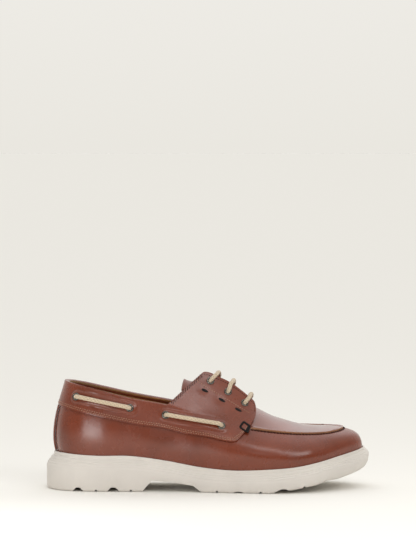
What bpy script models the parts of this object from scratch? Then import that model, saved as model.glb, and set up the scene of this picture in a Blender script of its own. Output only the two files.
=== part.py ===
"""Men's boat shoe, right foot: cup sole, hollow upper, tongue and insole, with the overlays,
eyelets and laces laid over them. Metres, +X to the toe, -Y the lateral side, +Z up."""

import math

import bmesh
import bpy
import numpy as np
from mathutils import Matrix, Vector

# Driving sizes in metres
SOLE_LENGTH = 0.300
BALL_WIDTH = 0.106
COLLAR_HEIGHT = 0.100
GAP = 0.0003
OVERLAY_GAP = 0.0005
UPPER_WALL = 0.0018
OVERLAY_WALL = 0.0016
LIP_DEPTH = 0.0027
SEAM_RISE = 0.0014
SEAM_WIDTH = 0.0026
SOLE_ROUNDING = 0.0024
INSOLE_THICKNESS = 0.003
TONGUE_THICKNESS = 0.0024
FRONT_LIFT = 0.0030
CORNER_CUT = 0.05
EYELET_RADIUS = 0.0037
EYELET_BARREL = 0.0025
EYELET_BORE = 0.0020
EYELET_HEIGHT = 0.0011
PUNCH_LENGTH = 0.0088
LACE_DIAMETER = 0.0036
MM = 0.001
# The last's middle line, from the middle of the shoe's width, in % of BALL_WIDTH
MIDLINE = 1.87

# Colours as linear red, green, blue
LEATHER = (0.209, 0.050, 0.023)
LEATHER_DARK = (0.160, 0.038, 0.018)
RUBBER = (0.693, 0.638, 0.565)
SOCK = (0.356, 0.178, 0.063)
NICKEL = (0.150, 0.135, 0.115)
COTTON = (0.730, 0.578, 0.352)

# Stations run from the heel (0) to the toe (15) on each side. The lateral side is read first,
# then the medial side back to the heel, so a place round the shoe is a number from 0 to 30.
TOE = 15
ROUND = 30
BACK_EDGE = 6
THROAT = 9
ARC = 12
STEP = 0.5

# Sole outline. x in % of SOLE_LENGTH; lateral, medial and overhang past the upper in % of
# BALL_WIDTH; rim height in % of COLLAR_HEIGHT.
OUTLINE_COLUMNS = ("x", "lateral", "medial", "overhang", "rim")
OUTLINE = (
    (-50.0, 0.0, 0.0, 9.6, 34.0),
    (-48.8, 14.6, 14.6, 9.2, 34.1),
    (-46.0, 25.9, 25.5, 8.0, 34.2),
    (-41.3, 33.5, 32.5, 6.2, 33.6),
    (-33.3, 37.1, 35.4, 4.9, 32.6),
    (-24.0, 37.4, 33.6, 4.5, 32.6),
    (-13.3, 38.7, 30.8, 4.5, 28.6),
    (-2.7, 42.5, 32.1, 4.5, 23.0),
    (7.3, 47.2, 37.7, 4.5, 20.4),
    (17.3, 51.2, 44.7, 4.5, 21.4),
    (26.7, 50.6, 47.9, 4.5, 23.6),
    (34.7, 42.9, 45.7, 4.7, 27.6),
    (41.3, 28.8, 38.5, 4.9, 31.8),
    (46.6, 14.4, 28.6, 5.2, 35.0),
    (49.3, 3.0, 17.3, 5.5, 36.8),
    (50.0, -6.6, 6.6, 5.7, 37.2),
)

# Top of each side wall: the collar edge to station 6, a line under the saddle to 9, then the
# apron seam. Leans are degrees from upright, at the sole and at the top; full is how far the
# section bulges, as a share of its chord. The medial side's stations may lie further ahead.
TOPLINE_COLUMNS = ("x", "medial_ahead", "lateral", "medial", "z_lateral", "z_medial", "lean_low",
                   "lean_top", "full")
TOPLINE = (
    (-43.6, 0.0, 0.0, 0.0, 99.5, 99.5, 17, 16, 0.32),
    (-43.0, 0.0, 9.0, 9.0, 99.2, 99.2, 16, 16, 0.33),
    (-41.3, 0.0, 16.5, 16.5, 98.0, 98.0, 13, 16, 0.35),
    (-37.7, 0.0, 23.1, 22.6, 95.6, 95.4, 10, 16, 0.37),
    (-32.0, 0.0, 26.9, 25.9, 91.6, 91.2, 8, 14, 0.39),
    (-23.3, 0.4, 28.3, 27.0, 85.2, 85.0, 8, 12, 0.39),
    (-12.3, 2.0, 27.8, 26.4, 79.2, 77.9, 10, 16, 0.39),
    (-4.7, 1.4, 29.2, 26.8, 72.6, 71.8, 14, 26, 0.39),
    (3.3, 0.4, 31.1, 27.7, 65.4, 65.8, 18, 36, 0.39),
    (12.7, 0.0, 33.0, 29.8, 58.2, 59.4, 20, 46, 0.39),
    (22.0, 0.0, 31.7, 31.7, 54.2, 56.0, 18, 54, 0.40),
    (30.0, 0.0, 27.4, 31.1, 52.4, 54.4, 14, 60, 0.42),
    (36.0, 0.0, 20.3, 27.5, 52.2, 54.2, 8, 66, 0.45),
    (39.7, 0.0, 10.8, 20.9, 53.2, 54.4, 2, 70, 0.48),
    (41.5, 0.0, 2.4, 13.8, 54.2, 54.7, -4, 73, 0.50),
    (42.0, 0.0, -6.1, 6.1, 54.8, 54.8, -6, 75, 0.50),
)

# Edge of each facing from its peak (station 6) to the end of the throat (station 9)
FACING_COLUMNS = ("x_lateral", "lateral", "z_lateral", "x_medial", "medial", "z_medial")
FACING = (
    (-1.0, 12.3, 109.6, 0.3, 10.8, 105.0),
    (3.1, 11.3, 103.2, 4.7, 10.4, 98.0),
    (8.3, 11.1, 94.2, 9.3, 10.6, 89.8),
    (14.8, 11.9, 76.4, 14.8, 11.9, 75.2),
)

# Ridge of the apron and, further back, of the tongue: x, height
SPINE = ((13.3, 76.4), (16.0, 72.5), (19.7, 66.8), (23.5, 62.9), (27.2, 59.5), (30.9, 57.2),
         (34.6, 56.2), (38.3, 56.0), (42.0, 55.2))
# Lower edge of the collar band and saddle: x, height
BAND = ((-47.0, 77.8), (-45.6, 77.2), (-36.3, 70.8), (-23.1, 62.5), (-13.9, 58.4), (-7.0, 53.7),
        (0.5, 50.3), (4.1, 47.8), (7.7, 46.5), (9.4, 48.9), (11.2, 54.4), (12.7, 57.4))
# Underside of the sole before the arch and grooves are cut: x, height
UNDERSIDE = ((-50.0, 0.0), (15.0, 0.0), (20.0, 1.0), (25.0, 2.8), (29.7, 5.2), (33.6, 7.4),
             (36.4, 10.4), (39.3, 10.9), (42.0, 12.7), (46.7, 16.8), (49.3, 21.5), (50.0, 27.7))

# Steps and ribs of the sole's side, as share of the overhang and drop below the rim in mm
SIDE_STEPS = (
    (0.28, -0.2), (0.36, 2.2), (0.31, 3.0), (0.50, 4.0), (0.66, 5.6), (0.62, 6.2),
    (0.80, 7.4), (0.77, 8.0), (0.92, 9.4), (0.90, 10.0), (1.00, 12.0),
)
FULL_SIDE = 0.022
# Arch, as x and height, and the grooves across the tread: centre, width and roof width, height
ARCH = ((-20.6, -1.0), (-20.3, 0.0), (-17.2, 10.4), (-10.7, 9.1), (-4.6, 6.2), (-1.8, 0.0), (-1.5, -1.0))
GROOVE_COLUMNS = ("x", "width", "roof", "height")
GROOVES = (
    (-39.8, 3.6, 1.2, 3.7),
    (-34.3, 1.0, 0.4, 1.9),
    (-29.0, 4.0, 1.4, 4.0),
    (-23.6, 1.0, 0.4, 1.9),
    (2.7, 1.0, 0.4, 1.9),
    (9.3, 4.0, 1.2, 1.6),
    (16.0, 1.0, 0.4, 2.0),
    (23.0, 4.6, 1.4, 4.3),
    (29.4, 1.0, 0.4, 6.6),
)
GROOVE_BASE = -2.0


def rows_round(table, columns, pick):
    """A closed run of rows: the lateral side from heel to toe, then the medial side back."""
    index = {name: i for i, name in enumerate(columns)}
    lateral = [pick({n: row[i] for n, i in index.items()}, True) for row in table]
    medial = [pick({n: row[i] for n, i in index.items()}, False) for row in table[-2:0:-1]]
    return np.array(lateral + medial)


def outline_row(row, lateral):
    y = -row["lateral"] if lateral else row["medial"]
    return (
        row["x"] / 100 * SOLE_LENGTH,
        (y + MIDLINE) / 100 * BALL_WIDTH,
        row["rim"] / 100 * COLLAR_HEIGHT,
        row["overhang"] / 100 * BALL_WIDTH,
    )


def topline_row(row, lateral):
    y = -row["lateral"] if lateral else row["medial"]
    z = row["z_lateral"] if lateral else row["z_medial"]
    ahead = 0.0 if lateral else row["medial_ahead"]
    return (
        (row["x"] + ahead) / 100 * SOLE_LENGTH,
        (y + MIDLINE) / 100 * BALL_WIDTH,
        z / 100 * COLLAR_HEIGHT,
        math.radians(row["lean_low"]),
        math.radians(row["lean_top"]),
        row["full"],
    )


OUTLINE_ROUND = rows_round(OUTLINE, OUTLINE_COLUMNS, outline_row)
TOPLINE_ROUND = rows_round(TOPLINE, TOPLINE_COLUMNS, topline_row)


def facing_rows(lateral):
    sign, pick = (-1, (0, 1, 2)) if lateral else (1, (3, 4, 5))
    scale = (SOLE_LENGTH / 100, sign * BALL_WIDTH / 100, COLLAR_HEIGHT / 100)
    rows = np.array([[row[i] * s for i, s in zip(pick, scale)] for row in FACING])
    return rows + (0, MIDLINE / 100 * BALL_WIDTH, 0)


def spline(p0, p1, p2, p3, t):
    """The Catmull-Rom curve between p1 and p2."""
    return 0.5 * (
        2 * p1
        + (p2 - p0) * t
        + (2 * p0 - 5 * p1 + 4 * p2 - p3) * t * t
        + (3 * p1 - p0 - 3 * p2 + p3) * t ** 3
    )


def around(rows, place):
    """The row at a place round the shoe, smoothly between the stations."""
    i = math.floor(place)
    return spline(*(rows[(i + k) % len(rows)] for k in (-1, 0, 1, 2)), place - i)


def along(rows, place):
    """The row at a place on an open run of rows."""
    last = len(rows) - 1
    i = min(max(math.floor(place), 0), last - 1)
    before = rows[i - 1] if i else 2 * rows[0] - rows[1]
    after = rows[i + 2] if i + 2 <= last else 2 * rows[last] - rows[last - 1]
    return spline(before, rows[i], rows[i + 1], after, place - i)


def height_at(table, x):
    """The height that a table of x and height gives at x."""
    xs = [row[0] / 100 * SOLE_LENGTH for row in table]
    zs = [row[1] / 100 * COLLAR_HEIGHT for row in table]
    return float(np.interp(x, xs, zs))


def outward(place):
    """The level direction that points away from the shoe, square to the sole's outline."""
    a, b = (around(OUTLINE_ROUND, place + d)[:2] for d in (-0.05, 0.05))
    run = (b - a) / np.linalg.norm(b - a)
    return np.array((run[1], -run[0], 0.0))


def outline(place, out=0.0):
    """A point of the sole's outline, moved out or, with a negative number, in."""
    row = around(OUTLINE_ROUND, place)
    return np.array((row[0], row[1], 0.0)) + outward(place) * out


def rim_of(place):
    return around(OUTLINE_ROUND, place)[2]


def overhang_of(place):
    return around(OUTLINE_ROUND, place)[3]


def feather(place):
    """Where the upper's outside passes the top of the sole's lip."""
    foot = outline(place, -overhang_of(place))
    foot[2] = rim_of(place)
    return foot


def top_of(place):
    return around(TOPLINE_ROUND, place)[:3]


def bezier(a, b, c, d, t):
    u = 1 - t
    return u ** 3 * a + 3 * u * u * t * b + 3 * u * t * t * c + t ** 3 * d


def handle(place, lean):
    """A unit vector that goes down and out at this angle from upright."""
    return outward(place) * math.sin(lean) - np.array((0, 0, math.cos(lean)))


def side(place, rise):
    """The side wall: rise 0 at the sole, 1 at the collar or apron seam."""
    foot, top = feather(place), top_of(place)
    low, high, full = around(TOPLINE_ROUND, place)[3:6]
    chord = np.linalg.norm(top - foot) * full
    up = outward(place) * math.sin(low) + np.array((0, 0, math.cos(low)))
    return bezier(foot, foot + up * chord, top + handle(place, high) * chord, top, rise)


def facing(place, rise):
    """The facing above the side wall: rise 0 at the wall's top, 1 at the facing's edge."""
    lateral = place < TOE
    station = place if lateral else ROUND - place
    edge = along(facing_rows(lateral), station - BACK_EDGE)
    top = top_of(place)
    chord = np.linalg.norm(edge - top)
    ease = min(max((station - BACK_EDGE) / 1.5, 0.0), 1.0)
    start = -handle(place, around(TOPLINE_ROUND, place)[4]) * chord * 0.34
    level = (top - edge) * (1, 1, 0)
    end = level * 0.34 + np.array((0, 0, -chord * 0.14))
    straight = (edge - top) / 3
    start = start * ease + straight * (1 - ease)
    end = end * ease - straight * (1 - ease)
    return bezier(top, top + start, edge + end, edge, rise)


def wall(place, rise):
    """Side wall and facing as one surface: rise 0 to 1, then 1 to 2."""
    return side(place, rise) if rise <= 1 else facing(place, rise - 1)


def normal(place, rise):
    """The outward normal of the wall."""
    low, high = (rise - 0.02, rise + 0.02) if rise <= 0.98 or rise > 1.02 else (rise - 0.04, rise)
    high = min(high, 2.0)
    d = 0.04
    a, b = place - d, place + d
    if rise > 1.02 and not BACK_EDGE <= min(a, ROUND - b):
        a, b = (place, b) if place < TOE else (a, place)
    if rise > 1.02 and THROAT < b < TOE:
        b = place
    if rise > 1.02 and TOE < a < ROUND - THROAT:
        a = place
    run = wall(b, rise) - wall(a, rise)
    climb = wall(place, high) - wall(place, low)
    n = np.cross(run, climb)
    return n / np.linalg.norm(n)


def over(place, rise, out):
    """A point this far outside the upper's surface."""
    return wall(place, rise) + normal(place, rise) * out


def band_rise(place):
    """The rise at which the collar band and saddle end below."""
    low, high = 0.05, 1.0
    for _ in range(30):
        middle = (low + high) / 2
        point = side(place, middle)
        if point[2] < height_at(BAND, point[0]):
            low = middle
        else:
            high = middle
    return min(low, 0.965)


# Scene helpers

def clear_scene():
    for obj in list(bpy.data.objects):
        bpy.data.objects.remove(obj, do_unlink=True)


def collection(name):
    made = bpy.data.collections.new(name)
    bpy.context.scene.collection.children.link(made)
    return made


def material(name, colour, roughness, metallic=0.0):
    made = bpy.data.materials.new(name)
    made.use_nodes = True
    shader = made.node_tree.nodes["Principled BSDF"]
    shader.inputs["Base Color"].default_value = (*colour, 1)
    shader.inputs["Roughness"].default_value = roughness
    shader.inputs["Metallic"].default_value = metallic
    made.diffuse_color = (*colour, 1)
    return made


def mesh_object(name, group, points, faces, skin=None):
    mesh = bpy.data.meshes.new(name)
    mesh.from_pydata([tuple(map(float, p)) for p in points], [], faces)
    mesh.validate()
    made = bpy.data.objects.new(name, mesh)
    group.objects.link(made)
    if skin:
        mesh.materials.append(skin)
    return made


def thicken(obj, thickness):
    """Gives a surface a wall on its inner side."""
    made = obj.modifiers.new("wall", "SOLIDIFY")
    made.thickness = thickness
    made.offset = -1
    made.use_even_offset = True


def cut(obj, cutter):
    made = obj.modifiers.new("cut by " + cutter.name, "BOOLEAN")
    made.operation = "DIFFERENCE"
    made.solver = "EXACT"
    made.object = cutter


class Surface:
    """Points with names, and the faces between them."""

    def __init__(self):
        self.points, self.index, self.faces = [], {}, []

    def put(self, key, point):
        if key not in self.index:
            self.index[key] = len(self.points)
            self.points.append(point)
        return self.index[key]

    def face(self, *keys):
        corners = [self.index[k] for k in keys]
        corners = [c for i, c in enumerate(corners) if c != corners[i - 1]]
        if len(set(corners)) > 2:
            self.faces.append(corners)


PLACES = [i * STEP for i in range(int(ROUND / STEP))]


def rings_solid(name, group, rings, skin):
    """A closed solid through rings of one point for each place, capped straight across."""
    count = len(PLACES)
    half = count // 2
    points = [p for ring in rings for p in ring]
    faces = []
    for r in range(len(rings) - 1):
        for i in range(count):
            j = (i + 1) % count
            a, b = r * count, (r + 1) * count
            faces.append((a + i, b + i, b + j, a + j))
    for base, turn in ((0, False), ((len(rings) - 1) * count, True)):
        for i in range(half):
            quad = [base + i, base + i + 1, base + (count - i - 1) % count, base + (count - i) % count]
            quad = [q for n, q in enumerate(quad) if q != quad[n - 1]]
            faces.append(tuple(reversed(quad)) if turn else tuple(quad))
    return mesh_object(name, group, points, faces, skin)


def floor_height(place):
    return rim_of(place) - LIP_DEPTH - GAP


def sole_rings():
    rings = [[], []]
    for place in PLACES:
        lip = outline(place, GAP - overhang_of(place))
        rings[0].append(lip + (0, 0, floor_height(place)))
        rings[1].append(lip + (0, 0, rim_of(place)))
    for share, drop in SIDE_STEPS:
        ring = []
        for place in PLACES:
            point = outline(place, (share - 1) * overhang_of(place))
            rim = rim_of(place)
            tall = min(1.0, (rim - height_at(UNDERSIDE, point[0])) / FULL_SIDE)
            point[2] = rim - drop * MM * tall
            ring.append(point)
        rings.append(ring)
    for inset, up in ((0.0, 1.0), (0.35, 0.3), (1.0, 0.0)):
        ring = []
        for place in PLACES:
            point = outline(place, -inset * SOLE_ROUNDING)
            point[2] = height_at(UNDERSIDE, point[0]) + up * SOLE_ROUNDING
            ring.append(point)
        rings.append(ring)
    return rings


def prism(surface, tag, profile, half_width):
    """Adds a bar across the shoe with this side profile of x and height."""
    n = len(profile)
    for y, end in ((-half_width, "a"), (half_width, "b")):
        for i, (x, z) in enumerate(profile):
            surface.put((tag, end, i), (x, y, z))
    surface.face(*((tag, "b", i) for i in range(n)))
    surface.face(*((tag, "a", i) for i in reversed(range(n))))
    for i in range(n):
        j = (i + 1) % n
        surface.face((tag, "a", i), (tag, "a", j), (tag, "b", j), (tag, "b", i))


def make_sole(parts, cutters):
    sole = rings_solid("sole", parts, sole_rings(), material("sole_rubber", RUBBER, 0.62))
    bars = Surface()
    arch = [(x / 100 * SOLE_LENGTH, z / 100 * COLLAR_HEIGHT) for x, z in ARCH]
    prism(bars, "arch", arch, BALL_WIDTH)
    for row in GROOVES:
        x, width, roof, height = (row[GROOVE_COLUMNS.index(n)] / 100 for n in GROOVE_COLUMNS)
        base = GROOVE_BASE / 100 * COLLAR_HEIGHT
        top = height * COLLAR_HEIGHT
        ground = height_at(UNDERSIDE, x * SOLE_LENGTH)
        spread = (width - roof) / 2 * (top - base) / (top - ground)
        ends = [x - roof / 2 - spread, x - roof / 2, x + roof / 2, x + roof / 2 + spread]
        profile = [(e * SOLE_LENGTH, z) for e, z in zip(ends, (base, top, top, base))]
        prism(bars, row, profile, BALL_WIDTH)
    cutter = mesh_object("tread_cutter", cutters, bars.points, bars.faces)
    face_out(cutter)
    cut(sole, cutter)
    return sole


def face_out(obj):
    """Turns every face of a closed mesh outwards."""
    work = bmesh.new()
    work.from_mesh(obj.data)
    bmesh.ops.recalc_face_normals(work, faces=work.faces)
    work.to_mesh(obj.data)
    work.free()


# Rows of the upper between the sole and the top of the wall, and across the instep
WALL_ROWS = (0.0, 0.14, 0.30, 0.46, 0.62, 0.76, 0.87, 0.945, 1.0)
FACING_ROWS = (0.12, 0.34, 0.56, 0.78, 1.0)
ACROSS = 12
APRON_SPREAD = (-0.92, -0.77, -0.63, -0.49, -0.37, -0.18, 0.0)
THROAT_BOW = 0.0092
CROWN_POWER = 2.2


def corner_cut(distance):
    """The share of its height that a facing has this many stations from a rounded corner."""
    return 1 - CORNER_CUT * max(0.0, 1 - 2 * distance) ** 2


def back_reach(station):
    return corner_cut(station - BACK_EDGE)


def front_reach(station):
    return corner_cut(THROAT - station)


def seam_share(place):
    """How much of the raised apron seam there is here: none at the rear, all past the throat."""
    station = place if place <= TOE else ROUND - place
    return min(max((station - THROAT) / 0.5, 0.0), 1.0)


def ring_point(place):
    """A point of the apron just inside its seam, round the toe."""
    point = top_of(place) - outward(place) * SEAM_WIDTH
    point[2] += 0.15 * SEAM_WIDTH
    return point


def apron_point(station, step):
    """A point of the apron between the seam's two sides, by steps across from the lateral one."""
    left, right = top_of(station), top_of(ROUND - station)
    ease = (station - THROAT) / (ARC - THROAT)
    share = APRON_SPREAD[step] if step <= ACROSS // 2 else -APRON_SPREAD[ACROSS - step]
    arc = ring_point(ARC + step * STEP)
    ends = ring_point(ARC), ring_point(ROUND - ARC)
    tip = ring_point(TOE)[0]
    sides = top_of(ARC), top_of(ROUND - ARC)
    arc_share = 2 * (arc[1] - sides[0][1]) / (sides[1][1] - sides[0][1]) - 1
    base = (ends[0][0] + ends[1][0]) / 2
    arc_bow = (arc[0] - base) / (tip - base)
    bow = (1 - share * share) * (1 - ease) + arc_bow * ease
    share = share * (1 - ease) + arc_share * ease
    reach = THROAT_BOW * (1 - ease) + (tip - sides[0][0]) * ease
    point = left + (right - left) * (share + 1) / 2
    point[0] += reach * bow
    middle = (left + right) / 2
    crown = height_at(SPINE, middle[0] + reach) - middle[2]
    point[2] += crown * (1 - min(abs(share), 1.0) ** CROWN_POWER)
    return point


def upper_surface():
    """The upper's outside as one open surface, with holes for the foot, throat and sole."""
    made = Surface()
    count = len(PLACES)
    for i, place in enumerate(PLACES):
        made.put(("wall", i, -1), feather(place) - (0, 0, LIP_DEPTH))
        for r, rise in enumerate(WALL_ROWS):
            made.put(("wall", i, r), side(place, rise))
    for i in range(count):
        j = (i + 1) % count
        for r in range(-1, len(WALL_ROWS) - 1):
            made.face(("wall", i, r), ("wall", j, r), ("wall", j, r + 1), ("wall", i, r + 1))
    top = len(WALL_ROWS) - 1
    first, throat, arc = (int(s / STEP) for s in (BACK_EDGE, THROAT, ARC))
    for k in range(first, arc + 1):
        station = k * STEP
        for step in range(ACROSS + 1):
            if k == arc:
                point = ring_point(ARC + step * STEP)
            elif k >= throat:
                point = apron_point(station, step)
            elif step <= 4:
                point = facing(station, FACING_ROWS[step] * back_reach(station))
            elif step >= 8:
                point = facing(ROUND - station, FACING_ROWS[ACROSS - step] * back_reach(station))
            else:
                continue
            made.put(("apron", k, step), point)
    for k in range(first, arc):
        for step in range(ACROSS):
            if k < throat and 4 <= step < 8:
                continue
            made.face(("apron", k, step), ("apron", k + 1, step),
                      ("apron", k + 1, step + 1), ("apron", k, step + 1))
        a, b = k, k + 1
        made.face(("wall", a, top), ("wall", b, top), ("apron", b, 0), ("apron", a, 0))
        a, b = count - k - 1, count - k
        made.face(("wall", a, top), ("wall", b, top), ("apron", k, ACROSS), ("apron", k + 1, ACROSS))
    for step in range(ACROSS):
        a, b = arc + step, arc + step + 1
        made.face(("wall", a, top), ("wall", b, top), ("apron", arc, step + 1), ("apron", arc, step))
    return made


def vertex_normals(points, faces):
    points = np.array(points)
    total = np.zeros_like(points)
    for face in faces:
        ring = points[list(face)]
        n = np.cross(ring[2] - ring[0], ring[-1] - ring[1])
        total[list(face)] += n
    return total / np.linalg.norm(total, axis=1)[:, None]


def make_upper(parts, skin):
    made = upper_surface()
    normals = vertex_normals(made.points, made.faces)
    top = len(WALL_ROWS) - 1
    for i, place in enumerate(PLACES):
        at = made.index[("wall", i, top)]
        rise = SEAM_RISE * seam_share(place)
        made.points[at] = made.points[at] + normals[at] * rise
    upper = mesh_object("upper", parts, made.points, made.faces, skin)
    thicken(upper, UPPER_WALL)
    return upper


def make_insole(parts):
    """The sock and its board, just inside the upper's foot."""
    inset = UPPER_WALL + 3 * GAP
    low, high, top = [], [], []
    for place in PLACES:
        foot = outline(place, -overhang_of(place) - inset)
        floor = floor_height(place) + GAP
        low.append(foot + (0, 0, floor))
        high.append(foot + (0, 0, floor + 0.6 * INSOLE_THICKNESS))
        foot = outline(place, -overhang_of(place) - inset - 0.4 * INSOLE_THICKNESS)
        top.append(foot + (0, 0, floor + INSOLE_THICKNESS))
    return rings_solid("insole", parts, [top, high, low], material("sock_leather", SOCK, 0.6))


# Tongue, from its free end to its seam under the apron: x and ridge height, half width and
# how far its sides hang below the ridge
TONGUE_COLUMNS = ("x", "ridge", "half_width", "drop")
TONGUE = (
    (-7.4, 101.0, 14.8, 8.5),
    (-6.0, 99.2, 15.0, 8.4),
    (-3.3, 97.6, 15.2, 8.2),
    (0.0, 95.2, 15.2, 7.8),
    (3.3, 91.4, 15.2, 7.6),
    (6.7, 86.4, 15.2, 7.4),
    (10.0, 80.4, 15.2, 7.0),
    (13.3, 73.8, 15.0, 6.2),
    (16.0, 69.9, 14.6, 5.2),
    (18.3, 66.1, 14.0, 4.4),
)
TONGUE_ACROSS = 8


def make_tongue(parts, skin):
    made = Surface()
    for i, row in enumerate(TONGUE):
        x, ridge, half, drop = row
        for j in range(TONGUE_ACROSS + 1):
            share = 2 * j / TONGUE_ACROSS - 1
            back = 0.004 * share * share if i == 0 else 0.0
            made.put((i, j), (
                x / 100 * SOLE_LENGTH - back,
                (share * half + MIDLINE) / 100 * BALL_WIDTH,
                (ridge - drop * share * share) / 100 * COLLAR_HEIGHT,
            ))
    for i in range(len(TONGUE) - 1):
        for j in range(TONGUE_ACROSS):
            made.face((i, j), (i + 1, j), (i + 1, j + 1), (i, j + 1))
    tongue = mesh_object("tongue", parts, made.points, made.faces, skin)
    thicken(tongue, TONGUE_THICKNESS)
    return tongue


# Places along the lateral side where the heel collar ends and the saddle begins and ends
COLLAR_END = 5.15
SADDLE_PLACES = (5.5, 6.0, 6.5, 7.0, 7.5, 8.0, 8.5, 8.75, 9.0)
BAND_ROWS = (0.0, 0.2, 0.4, 0.6, 0.82, 1.0)
BACKSTAY_ROWS = (0.03, 0.2, 0.4, 0.6, 0.8, 1.0)


def station_of(place):
    place = place % ROUND
    return place if place <= TOE else ROUND - place


def overlay_out(place, rise):
    """How far the outside of an overlay is from the upper's surface."""
    return OVERLAY_GAP + OVERLAY_WALL + front_lift(place, rise)


def front_lift(place, rise):
    """How far the saddle stands off at the front of the facing, over the lace's fold."""
    along_it = min(max(station_of(place) - 8.0, 0.0), 1.0)
    up_it = min(max(rise - 1.1, 0.0), 1.0)
    return FRONT_LIFT * along_it * up_it


def overlay(name, parts, skin, places, rises_at):
    """A piece of leather laid over the upper, through these places and the rises at each."""
    made = Surface()
    for i, place in enumerate(places):
        for r, rise in enumerate(rises_at(place)):
            made.put((i, r), over(place, rise, overlay_out(place, rise)))
    for i in range(len(places) - 1):
        for r in range(len(rises_at(places[i])) - 1):
            if (i + 1, r + 1) in made.index:
                made.face((i, r), (i + 1, r), (i + 1, r + 1), (i, r + 1))
    obj = mesh_object(name, parts, made.points, made.faces, skin)
    thicken(obj, OVERLAY_WALL)
    return obj


def band_rises(place):
    low = band_rise(place)
    return [low + (1 - low) * t for t in BAND_ROWS]


def saddle_rises(place):
    station = station_of(place)
    if station < BACK_EDGE:
        return band_rises(place)
    reach = back_reach(station) * front_reach(station)
    return band_rises(place) + [1 + r * reach for r in FACING_ROWS]


def backstay_rises(place):
    top = band_rise(place) - 4 * GAP / COLLAR_HEIGHT
    return [top * t for t in BACKSTAY_ROWS]


def make_overlays(parts, skin):
    half_gap = GAP / 2 / (SOLE_LENGTH * 0.11)
    start = COLLAR_END + half_gap
    lateral = [start, *SADDLE_PLACES]
    medial = [ROUND - p for p in reversed(lateral)]
    steps = int(COLLAR_END / STEP)
    heel = [i * STEP for i in range(-steps, steps + 1)]
    heel = [half_gap - COLLAR_END, *heel, COLLAR_END - half_gap]
    backstay = [i * STEP for i in range(-2, 3)]
    return [
        overlay("saddle_lateral", parts, skin, lateral, saddle_rises),
        overlay("saddle_medial", parts, skin, medial, saddle_rises),
        overlay("heel_collar", parts, skin, heel, band_rises),
        overlay("backstay", parts, skin, backstay, backstay_rises),
    ]


# Eyelets of the lateral side by place and rise; the medial side repeats them
EYELETS = {
    "heel_rear": (2.617, 0.832),
    "heel_front": (4.938, 0.839),
    "side_rear": (5.944, 0.818),
    "side_front": (8.091, 0.878),
    "top": (6.831, 1.81),
    "middle": (7.888, 1.729),
    "bottom": (8.592, 1.716),
}
EYELET_SIDES = 10
HOLE_SIDES = 10


def turned_profile():
    """The eyelet's section, as radius and height over the leather."""
    depth = OVERLAY_GAP + OVERLAY_WALL + UPPER_WALL + GAP
    return (
        (EYELET_BORE, -depth),
        (EYELET_BARREL, -depth),
        (EYELET_BARREL, 2 * GAP),
        (EYELET_RADIUS, 2 * GAP),
        (EYELET_RADIUS - 0.5 * EYELET_HEIGHT, EYELET_HEIGHT),
        (EYELET_BORE, 0.8 * EYELET_HEIGHT),
    )


def eyelet_mesh(skin):
    profile = turned_profile()
    mesh = bpy.data.meshes.new("eyelet")
    count = len(profile)
    mesh.from_pydata([(r, 0, z) for r, z in profile], [(i, (i + 1) % count) for i in range(count)], [])
    mesh.materials.append(skin)
    return mesh


def stand_on(obj, place, rise):
    """Sets an object on the overlay's outside, its own Z square to the leather."""
    obj.location = over(place, rise, overlay_out(place, rise))
    obj.rotation_mode = "QUATERNION"
    obj.rotation_quaternion = Vector(normal(place, rise)).to_track_quat("Z", "Y")


def both_sides():
    for tag, (place, rise) in EYELETS.items():
        yield "lateral_" + tag, place, rise
        yield "medial_" + tag, ROUND - place, rise


def make_eyelets(parts, cutters, skin, pierced):
    mesh = eyelet_mesh(skin)
    holes = bmesh.new()
    radius = (EYELET_BARREL + GAP) / math.cos(math.pi / HOLE_SIDES)
    for tag, place, rise in both_sides():
        ring = bpy.data.objects.new("eyelet_" + tag, mesh)
        parts.objects.link(ring)
        stand_on(ring, place, rise)
        turn = ring.modifiers.new("turned", "SCREW")
        turn.steps = turn.render_steps = EYELET_SIDES
        turn.use_merge_vertices = True
        turn.merge_threshold = 0.00001
        turn.use_normal_flip = True
        frame = Matrix.LocRotScale(ring.location, ring.rotation_quaternion, None)
        bmesh.ops.create_cone(holes, cap_ends=True, segments=HOLE_SIDES, depth=PUNCH_LENGTH,
                              radius1=radius, radius2=radius, matrix=frame)
    mesh = bpy.data.meshes.new("eyelet_holes")
    holes.to_mesh(mesh)
    holes.free()
    cutter = bpy.data.objects.new("eyelet_holes", mesh)
    cutters.objects.link(cutter)
    for obj in pierced:
        cut(obj, cutter)


LACE_STEPS = 8
LACE_CLEAR = 2 * GAP


def lace(name, parts, skin, points):
    """A length of lace through these points."""
    curve = bpy.data.curves.new(name, "CURVE")
    curve.dimensions = "3D"
    curve.bevel_depth = LACE_DIAMETER / 2
    curve.bevel_resolution = 2
    curve.use_fill_caps = True
    run = curve.splines.new("POLY")
    run.points.add(len(points) - 1)
    for point, place in zip(run.points, points):
        point.co = (*place, 1)
    curve.materials.append(skin)
    made = bpy.data.objects.new(name, curve)
    parts.objects.link(made)
    return made


def side_lace(a, b):
    """Points of the lace along the side, from one eyelet to the next."""
    points = []
    over_leather = OVERLAY_GAP + OVERLAY_WALL + LACE_CLEAR + LACE_DIAMETER / 2
    for i in range(LACE_STEPS + 1):
        t = i / LACE_STEPS
        place, rise = (a[k] * (1 - t) + b[k] * t for k in (0, 1))
        out = over_leather + 1.3 * EYELET_HEIGHT * (2 * t - 1) ** 2
        points.append(over(place, rise, out))
    return points


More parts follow.
